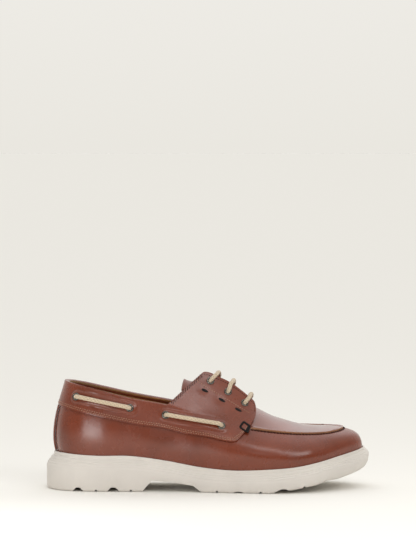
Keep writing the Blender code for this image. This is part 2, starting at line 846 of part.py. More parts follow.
def bar_end(place, rise):
    """Where the bar stands over its eyelet, beside the facing's edge and on top of the edge."""
    clear = LACE_DIAMETER / 2 + 2 * LACE_CLEAR
    across, edge = normal(place, 1.98), 1.99
    up = wall(place, 2.0) - wall(place, 1.96)
    up = up / np.linalg.norm(up)
    corner = over(place, edge, overlay_out(place, edge))
    return [
        over(place, rise, overlay_out(place, rise) + clear + EYELET_HEIGHT),
        corner + across * clear * 1.25,
        corner + up * clear * 1.1,
    ]


def bar_lace(place, rise):
    """Points of the bar that crosses the throat between a pair of eyelets."""
    guide = bar_end(place, rise) + bar_end(ROUND - place, rise)[::-1]
    middle = (guide[2] + guide[3]) / 2 + (0, 0, 0.2 * LACE_DIAMETER)
    guide = np.array(guide[:3] + [middle] + guide[3:])
    count = 2 * (len(guide) - 1)
    return [along(guide, i / 2) for i in range(count + 1)]


def make_laces(parts, skin):
    for lateral in (True, False):
        name = "lateral" if lateral else "medial"
        for tag, a, b in (("heel", "heel_rear", "heel_front"), ("side", "side_rear", "side_front")):
            ends = [EYELETS[a], EYELETS[b]]
            if not lateral:
                ends = [(ROUND - place, rise) for place, rise in ends]
            lace(f"lace_{name}_{tag}", parts, skin, side_lace(*ends))
    for tag in ("top", "middle", "bottom"):
        lace("lace_bar_" + tag, parts, skin, bar_lace(*EYELETS[tag]))


def main():
    clear_scene()
    parts = collection("boat_shoe")
    cutters = collection("cutters")
    leather = material("upper_leather", LEATHER, 0.38)
    make_sole(parts, cutters)
    make_insole(parts)
    upper = make_upper(parts, leather)
    make_tongue(parts, material("tongue_leather", LEATHER_DARK, 0.42))
    overlays = make_overlays(parts, material("saddle_leather", LEATHER, 0.38))
    make_eyelets(parts, cutters, material("eyelet_metal", NICKEL, 0.32, 1.0), [upper, *overlays[:3]])
    make_laces(parts, material("lace_cotton", COTTON, 0.85))
    for cutter in cutters.objects:
        cutter.hide_render = True
        cutter.display_type = "WIRE"
    cutters.hide_render = True


main()
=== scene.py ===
"""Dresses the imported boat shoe: leather lasted over the shoe's own surface, a moulded sole,
lining, stitches, eyelets and braided laces. Metres, +X to the toe, -Y the lateral side, +Z up."""

import math

import bpy
import numpy as np
from bpy.props import FloatProperty, FloatVectorProperty, IntProperty, PointerProperty
from mathutils import Matrix, Vector


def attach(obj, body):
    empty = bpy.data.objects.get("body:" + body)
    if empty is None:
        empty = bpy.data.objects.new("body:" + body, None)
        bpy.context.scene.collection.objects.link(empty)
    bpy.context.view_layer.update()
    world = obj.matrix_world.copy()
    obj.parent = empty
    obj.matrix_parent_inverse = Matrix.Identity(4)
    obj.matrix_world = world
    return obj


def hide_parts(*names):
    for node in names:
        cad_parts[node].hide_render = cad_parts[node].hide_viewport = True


bl_info = {
    "name": "Boat shoe",
    "version": (1, 0, 0),
    "blender": (4, 5, 0),
    "location": "View3D > Sidebar > Boat shoe",
    "description": "Makes the leather, sole, stitches and laces of a boat shoe over its frame",
    "category": "Add Mesh",
}

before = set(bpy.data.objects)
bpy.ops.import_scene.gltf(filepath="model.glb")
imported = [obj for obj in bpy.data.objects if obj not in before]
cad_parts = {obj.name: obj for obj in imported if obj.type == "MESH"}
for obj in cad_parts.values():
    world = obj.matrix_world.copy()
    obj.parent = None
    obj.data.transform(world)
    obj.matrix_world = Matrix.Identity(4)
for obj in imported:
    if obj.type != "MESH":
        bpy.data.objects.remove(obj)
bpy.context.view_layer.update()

MM = 0.001
SOLE_LENGTH = 0.300
BALL_WIDTH = 0.106
COLLAR_HEIGHT = 0.100
# The last's middle line, from the middle of the shoe's width, in % of BALL_WIDTH
MIDLINE = 1.87
UPPER_WALL = 0.0018
OVERLAY_GAP = 0.0005
OVERLAY_WALL = 0.0016
LIP_DEPTH = 0.0027
SOLE_GAP = 0.0003
# How far the facings' front end stands off the upper, for the tongue under it
FRONT_LIFT = 0.0009

# Stations run from the heel (0) to the toe (15) on each side, the lateral side first and then
# the medial side back to the heel, so a place round the shoe is a number from 0 to 30.
TOE = 15
ROUND = 30
# Where each facing starts and ends, and where the apron's seam turns across the toe
BACK_EDGE = 6
THROAT = 9
ARC = 12
SIDES = ((True, "lateral"), (False, "medial"))

# Sole outline: x in % of SOLE_LENGTH; lateral, medial and overhang past the upper in % of
# BALL_WIDTH; rim height in % of COLLAR_HEIGHT
OUTLINE = (
    (-50.0, 0.0, 0.0, 9.6, 34.0),
    (-48.8, 14.6, 14.6, 9.2, 34.1),
    (-46.0, 25.9, 25.5, 8.0, 34.2),
    (-41.3, 33.5, 32.5, 6.2, 33.6),
    (-33.3, 37.1, 35.4, 4.9, 32.6),
    (-24.0, 37.4, 33.6, 4.5, 32.6),
    (-13.3, 38.7, 30.8, 4.5, 28.6),
    (-2.7, 42.5, 32.1, 4.5, 23.0),
    (7.3, 47.2, 37.7, 4.5, 20.4),
    (17.3, 51.2, 44.7, 4.5, 21.4),
    (26.7, 50.6, 47.9, 4.5, 23.6),
    (34.7, 42.9, 45.7, 4.7, 27.6),
    (41.3, 28.8, 38.5, 4.9, 31.8),
    (46.6, 14.4, 28.6, 5.2, 35.0),
    (49.3, 3.0, 17.3, 5.5, 36.8),
    (50.0, -6.6, 6.6, 5.7, 37.2),
)

# Top of each side wall: x, how far ahead the medial side is, half widths, heights, lean from
# upright in degrees at the sole and at the top, and how far the section bulges
TOPLINE = (
    (-43.6, 0.0, 0.0, 0.0, 99.5, 99.5, 17, 16, 0.32),
    (-43.0, 0.0, 9.0, 9.0, 99.2, 99.2, 16, 16, 0.33),
    (-41.3, 0.0, 16.5, 16.5, 98.0, 98.0, 13, 16, 0.35),
    (-37.7, 0.0, 23.1, 22.6, 95.6, 95.4, 10, 16, 0.37),
    (-32.0, 0.0, 26.9, 25.9, 91.6, 91.2, 8, 14, 0.39),
    (-23.3, 0.4, 28.3, 27.0, 85.2, 85.0, 8, 12, 0.39),
    (-12.3, 2.0, 27.8, 26.4, 79.2, 77.9, 10, 16, 0.39),
    (-4.7, 1.4, 29.2, 26.8, 72.6, 71.8, 14, 26, 0.39),
    (3.3, 0.4, 31.1, 27.7, 65.4, 65.8, 18, 36, 0.39),
    (12.7, 0.0, 33.0, 29.8, 58.2, 59.4, 20, 46, 0.39),
    (22.0, 0.0, 31.7, 31.7, 54.2, 56.0, 18, 54, 0.40),
    (30.0, 0.0, 27.4, 31.1, 52.4, 54.4, 14, 60, 0.42),
    (36.0, 0.0, 20.3, 27.5, 52.2, 54.2, 8, 66, 0.45),
    (39.7, 0.0, 10.8, 20.9, 53.2, 54.4, 2, 70, 0.48),
    (41.5, 0.0, 2.4, 13.8, 54.2, 54.7, -4, 73, 0.50),
    (42.0, 0.0, -6.1, 6.1, 54.8, 54.8, -6, 75, 0.50),
)

# Edge of each facing from its peak to the end of the throat: x, half width and height of the
# lateral side, then of the medial side
FACING = (
    (-1.0, 12.3, 109.6, 0.3, 10.8, 105.0),
    (3.1, 11.3, 103.2, 4.7, 10.4, 98.0),
    (8.3, 11.1, 94.2, 9.3, 10.6, 89.8),
    (14.8, 11.9, 76.4, 14.8, 11.9, 75.2),
)

# Ridge of the apron, lower edge of the collar band and saddle, and underside of the sole,
# each as x in % of SOLE_LENGTH and height in % of COLLAR_HEIGHT
SPINE = ((13.3, 76.4), (16.0, 72.5), (19.7, 66.8), (23.5, 62.9), (27.2, 59.5), (30.9, 57.2),
         (34.6, 56.2), (38.3, 56.0), (42.0, 55.2))
BAND = ((-47.0, 77.8), (-45.6, 77.2), (-36.3, 70.8), (-23.1, 62.5), (-13.9, 58.4), (-7.0, 53.7),
        (0.5, 50.3), (4.1, 47.8), (7.7, 46.5), (9.4, 48.9), (11.2, 54.4), (12.7, 57.4))
UNDERSIDE = ((-50.0, 0.0), (15.0, 0.0), (20.0, 1.0), (25.0, 2.8), (29.7, 5.2), (33.6, 7.4),
             (36.4, 10.4), (39.3, 10.9), (42.0, 12.7), (46.7, 16.8), (49.3, 21.5), (50.0, 27.7))

# Steps and ribs of the sole's side, as share of the overhang and drop below the rim in mm
SIDE_STEPS = (
    (0.28, -0.2), (0.36, 2.2), (0.31, 3.0), (0.50, 4.0), (0.66, 5.6), (0.62, 6.2),
    (0.80, 7.4), (0.77, 8.0), (0.92, 9.4), (0.90, 10.0), (1.00, 12.0),
)
# Height of the side from which these drops are full
FULL_SIDE = 0.022
ARCH = ((-20.6, -1.0), (-20.3, 0.0), (-17.2, 10.4), (-10.7, 9.1), (-4.6, 6.2), (-1.8, 0.0), (-1.5, -1.0))
# Grooves across the tread: centre, width, roof width and height
GROOVES = (
    (-39.8, 3.6, 1.2, 3.7),
    (-34.3, 1.0, 0.4, 1.9),
    (-29.0, 4.0, 1.4, 4.0),
    (-23.6, 1.0, 0.4, 1.9),
    (2.7, 1.0, 0.4, 1.9),
    (9.3, 4.0, 1.2, 1.6),
    (16.0, 1.0, 0.4, 2.0),
    (23.0, 4.6, 1.4, 4.3),
    (29.4, 1.0, 0.4, 6.6),
)
# Tongue from its free end: x, ridge height, half width, drop of its sides
TONGUE = (
    (-7.4, 101.0, 14.8, 8.5),
    (-6.0, 99.2, 15.0, 8.4),
    (-3.3, 97.6, 15.2, 8.2),
    (0.0, 95.2, 15.2, 7.8),
    (3.3, 91.4, 15.2, 7.6),
    (6.7, 86.4, 15.2, 7.4),
    (10.0, 80.4, 15.2, 7.0),
    (13.3, 73.8, 15.0, 6.2),
    (16.0, 69.9, 14.6, 5.2),
    (18.3, 66.1, 14.0, 4.4),
)
# Eyelets of the lateral side by place and rise, which the medial side repeats
EYELETS = {
    "heel_rear": (2.617, 0.832),
    "heel_front": (4.938, 0.839),
    "side_rear": (5.944, 0.818),
    "side_front": (8.091, 0.878),
    "top": (6.831, 1.81),
    "middle": (7.888, 1.729),
    "bottom": (8.592, 1.716),
}
# Slots between the crossings of the lace, by place and rise
SLOTS = ((6.925, 1.548), (7.835, 1.478), (8.480, 1.436))


# The last: every surface of the shoe as points for arrays of place and rise

def blended(p0, p1, p2, p3, t):
    return 0.5 * (2 * p1 + (p2 - p0) * t + (2 * p0 - 5 * p1 + 4 * p2 - p3) * t * t
                  + (3 * p1 - p0 - 3 * p2 + p3) * t ** 3)


def around(rows, place):
    """Rows at these places round the shoe, smoothly between the stations."""
    i = np.floor(place).astype(int)
    return blended(*(rows[(i + k) % len(rows)] for k in (-1, 0, 1, 2)), (place - i)[:, None])


def along(rows, place):
    """Rows at these places on an open run of rows."""
    last = len(rows) - 1
    i = np.clip(np.floor(place).astype(int), 0, last - 1)
    padded = np.vstack([2 * rows[0] - rows[1], rows, 2 * rows[-1] - rows[-2]])
    return blended(*(padded[i + k] for k in range(4)), (place - i)[:, None])


def both_sides_round(table, pick):
    """Rows from the heel to the toe along one side and back along the other."""
    return np.array([pick(r, True) for r in table] + [pick(r, False) for r in table[-2:0:-1]])


def forward(value):
    return value / 100 * SOLE_LENGTH


def across(value):
    """Metres to the side for a width in % from the last's middle line."""
    return (value + MIDLINE) / 100 * BALL_WIDTH


def upward(value):
    return value / 100 * COLLAR_HEIGHT


def outline_row(row, lateral):
    x, left, right, overhang, rim = row
    return forward(x), across(-left if lateral else right), upward(rim), overhang / 100 * BALL_WIDTH


def topline_row(row, lateral):
    x, ahead, left, right, z_left, z_right, low, high, full = row
    if lateral:
        place = forward(x), across(-left), upward(z_left)
    else:
        place = forward(x + ahead), across(right), upward(z_right)
    return *place, math.radians(low), math.radians(high), full


def facing_row(x, half, height, sign):
    return forward(x), across(sign * half), upward(height)


OUTLINE_ROUND = both_sides_round(OUTLINE, outline_row)
TOPLINE_ROUND = both_sides_round(TOPLINE, topline_row)
FACING_LATERAL = np.array([facing_row(*row[:3], -1) for row in FACING])
FACING_MEDIAL = np.array([facing_row(*row[3:], 1) for row in FACING])


def array(values):
    return np.atleast_1d(np.asarray(values, float))


def on_side(place, lateral):
    """A place of the lateral side, or the place across from it on the medial side."""
    return place if lateral else ROUND - place


def unit(vectors):
    return vectors / np.maximum(np.linalg.norm(vectors, axis=-1, keepdims=True), 1e-12)


def smooth_table(table):
    """A table of x and height as a fine curve through its rows."""
    rows = np.array(table) / 100 * (SOLE_LENGTH, COLLAR_HEIGHT)
    fine = along(rows, np.linspace(0, len(rows) - 1, 40 * len(rows)))
    return fine[:, 0], np.maximum(fine[:, 1], 0.0)


SPINE_LINE = smooth_table(SPINE)
BAND_LINE = smooth_table(BAND)
UNDER_LINE = smooth_table(UNDERSIDE)


def outward(place):
    """Level directions out of the shoe, square to the sole's outline."""
    a, b = (around(OUTLINE_ROUND, place + d)[:, :2] for d in (-0.05, 0.05))
    run = unit(b - a)
    return np.stack([run[:, 1], -run[:, 0], np.zeros(len(place))], axis=1)


def outline(place, out=0.0):
    row = around(OUTLINE_ROUND, place)
    flat = np.stack([row[:, 0], row[:, 1], np.zeros(len(place))], axis=1)
    return flat + outward(place) * np.asarray(out).reshape(-1, 1)


def rim_of(place):
    return around(OUTLINE_ROUND, place)[:, 2]


def overhang_of(place):
    return around(OUTLINE_ROUND, place)[:, 3]


def feather(place):
    """Where the upper's outside passes the top of the sole's lip."""
    foot = outline(place, -overhang_of(place))
    foot[:, 2] = rim_of(place)
    return foot


def top_of(place):
    return around(TOPLINE_ROUND, place)[:, :3]


def bezier(a, b, c, d, t):
    t = t[:, None]
    u = 1 - t
    return u ** 3 * a + 3 * u * u * t * b + 3 * u * t * t * c + t ** 3 * d


def upright(count):
    return np.tile((0.0, 0.0, 1.0), (count, 1))


def handle(place, lean):
    """Directions down from the wall's top, leaning out by this angle."""
    return outward(place) * np.sin(lean)[:, None] - upright(len(place)) * np.cos(lean)[:, None]


def side(place, rise):
    """The side wall: rise 0 at the sole, 1 at the collar or apron seam."""
    foot, top = feather(place), top_of(place)
    low, high, full = around(TOPLINE_ROUND, place)[:, 3:6].T
    chord = (np.linalg.norm(top - foot, axis=1) * full)[:, None]
    up = outward(place) * np.sin(low)[:, None] + upright(len(place)) * np.cos(low)[:, None]
    return bezier(foot, foot + up * chord, top + handle(place, high) * chord, top, rise)


def facing(place, rise):
    """The facing above the side wall: rise 0 at the wall's top, 1 at the facing's edge."""
    lateral = place < TOE
    station = np.where(lateral, place, ROUND - place)
    edge = np.where(lateral[:, None], along(FACING_LATERAL, station - BACK_EDGE),
                    along(FACING_MEDIAL, station - BACK_EDGE))
    top = top_of(place)
    chord = np.linalg.norm(edge - top, axis=1)[:, None]
    ease = np.clip((station - BACK_EDGE) / 1.5, 0.0, 1.0)[:, None]
    start = -handle(place, around(TOPLINE_ROUND, place)[:, 4]) * chord * 0.34
    end = (top - edge) * (1, 1, 0) * 0.34 - upright(len(place)) * chord * 0.14
    straight = (edge - top) / 3
    start = start * ease + straight * (1 - ease)
    end = end * ease - straight * (1 - ease)
    return bezier(top, top + start, edge + end, edge, rise)


def wall(place, rise):
    """Side wall and facing as one surface: rise 0 to 1, then 1 to 2."""
    place, rise = np.broadcast_arrays(array(place), array(rise))
    on_facing = (rise > 1)[:, None]
    held = np.clip(place % ROUND, 0, ROUND)
    return np.where(on_facing, facing(held, np.maximum(rise - 1, 0)), side(held, np.minimum(rise, 1)))


# Step of rise over which a direction is measured, and half the step of place
NEAR = 0.02


def normal(place, rise):
    """The outward normal of the wall, taken below the crease where the facing starts."""
    place, rise = np.broadcast_arrays(array(place), array(rise))
    place = place % ROUND
    crease = (rise > 1 - NEAR) & (rise <= 1 + NEAR)
    low = np.where(crease, rise - 2 * NEAR, rise - NEAR)
    high = np.minimum(np.where(crease, rise, rise + NEAR), 2.0)
    high = np.where(rise <= 1 + NEAR, np.minimum(high, 1.0), high)
    first = np.where(place < TOE, BACK_EDGE, ROUND - THROAT)
    last = np.where(place < TOE, THROAT, ROUND - BACK_EDGE)
    a, b = (np.where(rise > 1 + NEAR, np.clip(place + d, first, last), place + d)
            for d in (-2 * NEAR, 2 * NEAR))
    run = wall(b, rise) - wall(a, rise)
    climb = wall(place, high) - wall(place, low)
    return unit(np.cross(run, climb))


def over(place, rise, out):
    """Points this far outside the upper's surface."""
    far = np.broadcast_to(array(out), array(place + array(rise) * 0).shape)
    return wall(place, rise) + normal(place, rise) * far[:, None]


def station_of(place):
    """The station from heel to toe at these places of either side."""
    place = array(place) % ROUND
    return np.where(place <= TOE, place, ROUND - place)


def overlay_out(place, rise):
    """How far the outside of an overlay is from the upper's surface."""
    along_it = np.clip(station_of(place) - 8.0, 0.0, 1.0)
    up_it = np.clip(array(rise) - 1.1, 0.0, 1.0)
    return OVERLAY_GAP + OVERLAY_WALL + FRONT_LIFT * along_it * up_it


def on_overlay(place, rise, out=0.0):
    """Points this far over the overlays."""
    place, rise = np.broadcast_arrays(array(place), array(rise))
    return over(place, rise, overlay_out(place, rise) + out)


def band_rise(place):
    """The rise at which the collar band and saddle end below."""
    place = array(place)
    low, high = np.full(len(place), 0.05), np.ones(len(place))
    for _ in range(24):
        middle = (low + high) / 2
        point = side(place % ROUND, middle)
        under = point[:, 2] < np.interp(point[:, 0], *BAND_LINE)
        low, high = np.where(under, middle, low), np.where(under, high, middle)
    return np.minimum(low, 0.965)


def seam_share(place):
    """0 behind the throat, 1 where the apron's seam has its full height."""
    return np.clip((station_of(place) - THROAT) / 0.15, 0.0, 1.0)


SEAM_WIDTH = 0.0026
# Where the apron's steps across lie between its edges, how far it bows forwards at the throat,
# and how flat its crown is
APRON_SPREAD = (-0.92, -0.77, -0.63, -0.49, -0.37, -0.18, 0.0, 0.18, 0.37, 0.49, 0.63, 0.77, 0.92)
APRON_STEPS = 12
THROAT_BOW = 0.0092
CROWN_POWER = 2.2


def ring_point(place):
    """Points of the apron just inside its seam, round the toe."""
    place = array(place)
    return top_of(place) - outward(place) * SEAM_WIDTH + upright(len(place)) * 0.15 * SEAM_WIDTH


def apron(station, step):
    """Points of the apron at this station, and by 12 steps across from the lateral side."""
    station, step = np.broadcast_arrays(array(station), array(step))
    left, right = top_of(station), top_of(ROUND - station)
    ease = np.maximum((station - THROAT) / (ARC - THROAT), 0.0)
    behind = np.maximum(THROAT - station, 0.0)
    share = np.interp(step, range(APRON_STEPS + 1), APRON_SPREAD) * (1 - 0.25 * behind)
    arc = ring_point(ARC + step * 0.5)
    ends = ring_point([ARC, ROUND - ARC])
    tip = ring_point(TOE)[0, 0]
    sides = top_of(array([ARC, ROUND - ARC]))
    arc_share = 2 * (arc[:, 1] - sides[0, 1]) / (sides[1, 1] - sides[0, 1]) - 1
    base = ends[:, 0].mean()
    arc_bow = (arc[:, 0] - base) / (tip - base)
    bow = (1 - share * share) * (1 - ease) + arc_bow * ease
    share = share * (1 - ease) + arc_share * ease
    reach = THROAT_BOW * (1 - ease) + (tip - sides[0, 0]) * ease
    point = left + (right - left) * ((share + 1) / 2)[:, None]
    point[:, 0] += reach * bow
    middle = (left + right) / 2
    crown = np.interp(middle[:, 0] + reach, *SPINE_LINE) - middle[:, 2]
    point[:, 2] += crown * (1 - np.minimum(np.abs(share), 1.0) ** CROWN_POWER)
    on_arc = (station >= ARC - 1e-9)[:, None]
    return np.where(on_arc, arc, point)


def apron_edge(place):
    """The apron's own edge, just inside the seam."""
    place = array(place)
    return apron(np.clip(station_of(place), THROAT, ARC), np.clip((place - ARC) * 2, 0, APRON_STEPS))


# Shop tools: the ways in which the pieces are cut, lasted, joined and finished

def rest_hands():
    if bpy.context.mode != "OBJECT":
        bpy.ops.object.mode_set(mode="OBJECT")
    bpy.ops.object.select_all(action="DESELECT")


def pick_up(*objects):
    rest_hands()
    for obj in objects:
        obj.select_set(True)
    bpy.context.view_layer.objects.active = objects[0]


def edit_all(piece, step, **values):
    """Does one mesh step on the whole of a piece."""
    pick_up(piece)
    bpy.ops.object.mode_set(mode="EDIT")
    bpy.ops.mesh.select_all(action="SELECT")
    step(**values)
    bpy.ops.object.mode_set(mode="OBJECT")
    return piece


def modified(piece, kind, **values):
    """Puts a modifier with these settings on a piece and applies it."""
    made = piece.modifiers.new("step", kind)
    for key, value in values.items():
        setattr(made, key, value)
    pick_up(piece)
    bpy.ops.object.modifier_apply(modifier=made.name)
    return piece


def cut_flat(name, columns, rows):
    """A flat pattern piece, a grid from 0 to 1 each way, before it is lasted."""
    rest_hands()
    bpy.ops.mesh.primitive_grid_add(x_subdivisions=columns, y_subdivisions=rows, size=1,
                                    location=(0.5, 0.5, 0))
    piece = bpy.context.object
    bpy.ops.object.transform_apply(location=True, rotation=False, scale=False)
    piece.name = piece.data.name = name
    return piece


def copied(blank):
    copy = blank.copy()
    copy.data = blank.data.copy()
    bpy.context.scene.collection.objects.link(copy)
    return copy


def thrown_away(piece):
    bpy.data.objects.remove(piece, do_unlink=True)


def places_of(piece):
    co = np.empty(len(piece.data.vertices) * 3)
    piece.data.vertices.foreach_get("co", co)
    return co.reshape(-1, 3)


def set_places(piece, points):
    piece.data.vertices.foreach_set("co", np.asarray(points, np.float32).ravel())
    piece.data.update()


def last_it(piece, put):
    """Pulls a flat piece over the last: put takes its two flat coordinates."""
    flat = places_of(piece)
    set_places(piece, put(flat[:, 0], flat[:, 1]))
    return piece


def laid(name, columns, rows, corner):
    """A piece whose corners lie at corner(column, row)."""
    def put(s, t):
        return corner(np.rint(s * columns).astype(int), np.rint(t * rows).astype(int))
    return last_it(cut_flat(name, columns, rows), put)


def sewn_together(pieces, near):
    """Joins pieces and closes the seams between them."""
    pick_up(*pieces)
    if len(pieces) > 1:
        bpy.ops.object.join()
    return edit_all(bpy.context.object, bpy.ops.mesh.remove_doubles, threshold=near)


def outsides_out(piece):
    return edit_all(piece, bpy.ops.mesh.normals_make_consistent, inside=False)


def both_flaps(columns, rows, put):
    """A piece on each side: put takes the flat coordinates and whether it is the lateral side."""
    flaps = []
    for lateral, _ in SIDES:
        flap = last_it(cut_flat("flap", columns, rows), lambda s, t: put(s, t, lateral))
        flaps.append(flap if lateral else edit_all(flap, bpy.ops.mesh.flip_normals))
    return flaps


def closed_body(name, rings, rows, caps):
    """A body through these rings; caps give the heights of its lower and its upper end."""
    columns = len(rings[0])
    half = columns // 2
    parts = [laid(name, columns, len(rings) - 1, lambda i, j: rings[j, i % columns])]
    for ring, height in zip((rings[0], rings[-1]), caps):
        def put(s, t):
            k = np.rint(s * half).astype(int)
            a, b = ring[k % columns], ring[(columns - k) % columns]
            points = a + (b - a) * t[:, None]
            points[:, 2] = height(points, s, t)
            return points
        parts.append(last_it(cut_flat("cap", half, rows), put))
    return outsides_out(sewn_together(parts, 0.005 * MM))


def rounded_edges(piece, width, degrees):
    return modified(piece, "BEVEL", width=width, segments=2, limit_method="ANGLE",
                    angle_limit=math.radians(degrees))


def give_wall(piece, thickness, edge=0.0):
    """Gives a lasted skin its thickness on the inner side, and rounds its cut edges."""
    modified(piece, "SOLIDIFY", thickness=thickness, offset=-1)
    return rounded_edges(piece, edge, 50) if edge else piece


def smooth(piece, degrees):
    pick_up(piece)
    bpy.ops.object.shade_smooth_by_angle(angle=math.radians(degrees))
    return piece


def fit(piece, skin, slot, *nodes):
    """Gives a finished piece its material, and sets it on the shoe in the place of its nodes."""
    if skin and not piece.data.materials:
        piece.data.materials.append(finish_of(skin))
    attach(piece, "root")
    if nodes:
        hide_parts(*nodes)
    return piece


def swept(name, path, sides, ups, profile):
    """A closed tube: its profile is out along sides and up along ups at each point of the path."""
    rings = path[:, None] + sides[:, None] * profile[..., 0, None] + ups[:, None] * profile[..., 1, None]
    count, around_it = rings.shape[:2]
    piece = laid(name, count - 1, around_it, lambda i, j: rings[i, j % around_it])
    sewn_together([piece], 0.02 * MM)
    return outsides_out(edit_all(piece, bpy.ops.mesh.fill_holes, sides=0))


# Finishes

WHITE = (1, 1, 1)


def plug(tree, made, inputs):
    """Gives each input of a node its value, or the link that it comes by."""
    for key, value in inputs.items():
        if isinstance(value, bpy.types.NodeSocket):
            tree.links.new(value, made.inputs[key])
        else:
            made.inputs[key].default_value = value


def node(tree, kind, inputs=None, **settings):
    made = tree.nodes.new(kind)
    for key, value in settings.items():
        setattr(made, key, value)
    plug(tree, made, inputs or {})
    return made


def material(name, inputs_in):
    """A material whose main shader has the inputs that this function makes in its tree."""
    made = bpy.data.materials.new(name)
    made.use_nodes = True
    tree = made.node_tree
    plug(tree, tree.nodes["Principled BSDF"], inputs_in(tree))
    return made


def object_places(tree):
    return node(tree, "ShaderNodeTexCoord").outputs["Object"]


def noise(tree, scale, detail=3.0, rough=0.55):
    places = object_places(tree)
    return node(tree, "ShaderNodeTexNoise", {"Vector": places, "Scale": scale, "Detail": detail,
                                             "Roughness": rough}).outputs["Fac"]


def ramp(tree, factor, stops):
    made = node(tree, "ShaderNodeValToRGB", {"Fac": factor})
    band = made.color_ramp
    for spot, _ in stops[len(band.elements):]:
        band.elements.new(spot)
    for element, (spot, colour) in zip(band.elements, stops):
        element.position = spot
        element.color = (*colour, 1)
    return made.outputs["Color"]


def shaded(tree, factor, colour, *stops):
    """Shades of one colour, each from a level of the factor and how light it is there."""
    return ramp(tree, factor, [(level, [min(c * light, 1.0) for c in colour]) for level, light in stops])


def mixed(tree, factor, a, b, kind="MIX"):
    a, b = (value if isinstance(value, bpy.types.NodeSocket) else (*value, 1) for value in (a, b))
    return node(tree, "ShaderNodeMix", {"Factor": factor, 6: a, 7: b},
                data_type="RGBA", blend_type=kind).outputs[2]


def maths(tree, operation, *values):
    return node(tree, "ShaderNodeMath", dict(enumerate(values)), operation=operation).outputs[0]


def bump(tree, height, distance, strength, after=None):
    inputs = {"Strength": strength, "Distance": distance, "Height": height}
    if after:
        inputs["Normal"] = after
    return node(tree, "ShaderNodeBump", inputs).outputs["Normal"]


def leather(name, colour, roughness, coat=0.15, shine=0.5):
    """Burnished full-grain leather: cloudy colour, fine cells, a waxed top."""
    def inputs_in(tree):
        clouds = shaded(tree, noise(tree, 26, 4, 0.6), colour, (0.28, 0.78), (0.5, 1.0), (0.74, 1.18))
        specks = ramp(tree, noise(tree, 900, 2, 0.6), ((0.35, (0.78, 0.74, 0.72)), (0.6, WHITE)))
        cells = node(tree, "ShaderNodeTexVoronoi", {"Vector": object_places(tree), "Scale": 1500.0},
                     feature="SMOOTH_F1")
        fine = bump(tree, cells.outputs["Distance"], 0.03 * MM, 0.5)
        return {
            "Base Color": mixed(tree, 0.55, clouds, specks, "MULTIPLY"),
            "Normal": bump(tree, noise(tree, 60, 1, 0.4), 0.35 * MM, 0.3, fine),
            "Roughness": shaded(tree, noise(tree, 60, 4, 0.6), WHITE,
                                (0.3, roughness - 0.06), (0.7, roughness + 0.08)),
            "Specular IOR Level": shine,
            "Coat Weight": coat,
            "Coat Roughness": 0.15,
        }
    return material(name, inputs_in)


def rubber(name, colour):
    return material(name, lambda tree: {
        "Base Color": shaded(tree, noise(tree, 30, 3), colour, (0.3, 0.95), (0.7, 1.03)),
        "Normal": bump(tree, noise(tree, 1400, 3, 0.6), 0.05 * MM, 0.5),
        "Roughness": 0.58,
        "Specular IOR Level": 0.35,
    })


def soft_leather(name, colour, roughness, heel_colour=None):
    """Unwaxed lining or edge leather, with a fibrous nap."""
    def inputs_in(tree):
        clouds = shaded(tree, noise(tree, 45, 4), colour, (0.3, 0.8), (0.7, 1.12))
        if heel_colour:
            places = node(tree, "ShaderNodeSeparateXYZ", {0: object_places(tree)})
            forwards = node(tree, "ShaderNodeMapRange", {"Value": places.outputs["X"],
                                                         "From Min": -0.115, "From Max": -0.060})
            clouds = mixed(tree, forwards.outputs[0], heel_colour, clouds)
        nap = bump(tree, noise(tree, 1100, 3, 0.7), 0.1 * MM, 0.6)
        return {"Base Color": clouds, "Normal": nap, "Roughness": roughness}
    return material(name, inputs_in)


def metal(name, colour):
    return material(name, lambda tree: {
        "Base Color": shaded(tree, noise(tree, 220, 3), colour, (0.3, 0.75), (0.7, 1.2)),
        "Roughness": shaded(tree, noise(tree, 700, 3, 0.6), WHITE, (0.3, 0.16), (0.7, 0.28)),
        "Metallic": 1.0,
    })


def thread(name, colour):
    """Waxed thread, twisted of fine strands."""
    return material(name, lambda tree: {
        "Base Color": shaded(tree, noise(tree, 1600, 2), colour, (0.35, 0.7), (0.65, 1.2)),
        "Normal": bump(tree, noise(tree, 3000, 2), 0.05 * MM, 0.6),
        "Roughness": 0.6,
        "Specular IOR Level": 0.15,
    })


def braid(name, colour):
    """Braided cotton: strands cross both ways round and along the lace's own UV map."""
    def inputs_in(tree):
        places = node(tree, "ShaderNodeUVMap", uv_map="UVMap").outputs["UV"]
        parts = node(tree, "ShaderNodeSeparateXYZ", {0: places}).outputs
        waves = []
        for slope in (7.0, -7.0):
            turns = maths(tree, "ADD", parts["X"], maths(tree, "MULTIPLY", parts["Y"], slope))
            waves.append(maths(tree, "SINE", maths(tree, "MULTIPLY", turns, 2 * math.pi)))
        top = maths(tree, "MAXIMUM", *waves)
        # Painted shade: the lace's colour is darker in the hollows between the strands and lighter on
        # their crests, from the same pattern as the bump.
        lace_with_strand_shade = shaded(tree, top, colour, (0.0, 0.84), (0.7, 1.06))
        fuzz = ramp(tree, noise(tree, 1300, 3), ((0.3, (0.86, 0.85, 0.84)), (0.65, WHITE)))
        strands = bump(tree, top, 0.12 * MM, 0.7)
        return {
            "Base Color": mixed(tree, 0.7, lace_with_strand_shade, fuzz, "MULTIPLY"),
            "Normal": bump(tree, noise(tree, 2200, 2), 0.06 * MM, 0.5, strands),
            "Roughness": 0.88,
            "Sheen Weight": 0.25,
        }
    return material(name, inputs_in)


# Sizes and colours that a user would change

def colour_field(name, description, default):
    return FloatVectorProperty(name=name, description=description, subtype="COLOR",
                               size=3, min=0, max=1, default=default)


def length_field(name, description, low, high, default):
    return FloatProperty(name=name, description=description, unit="LENGTH",
                         min=low, max=high, default=default)


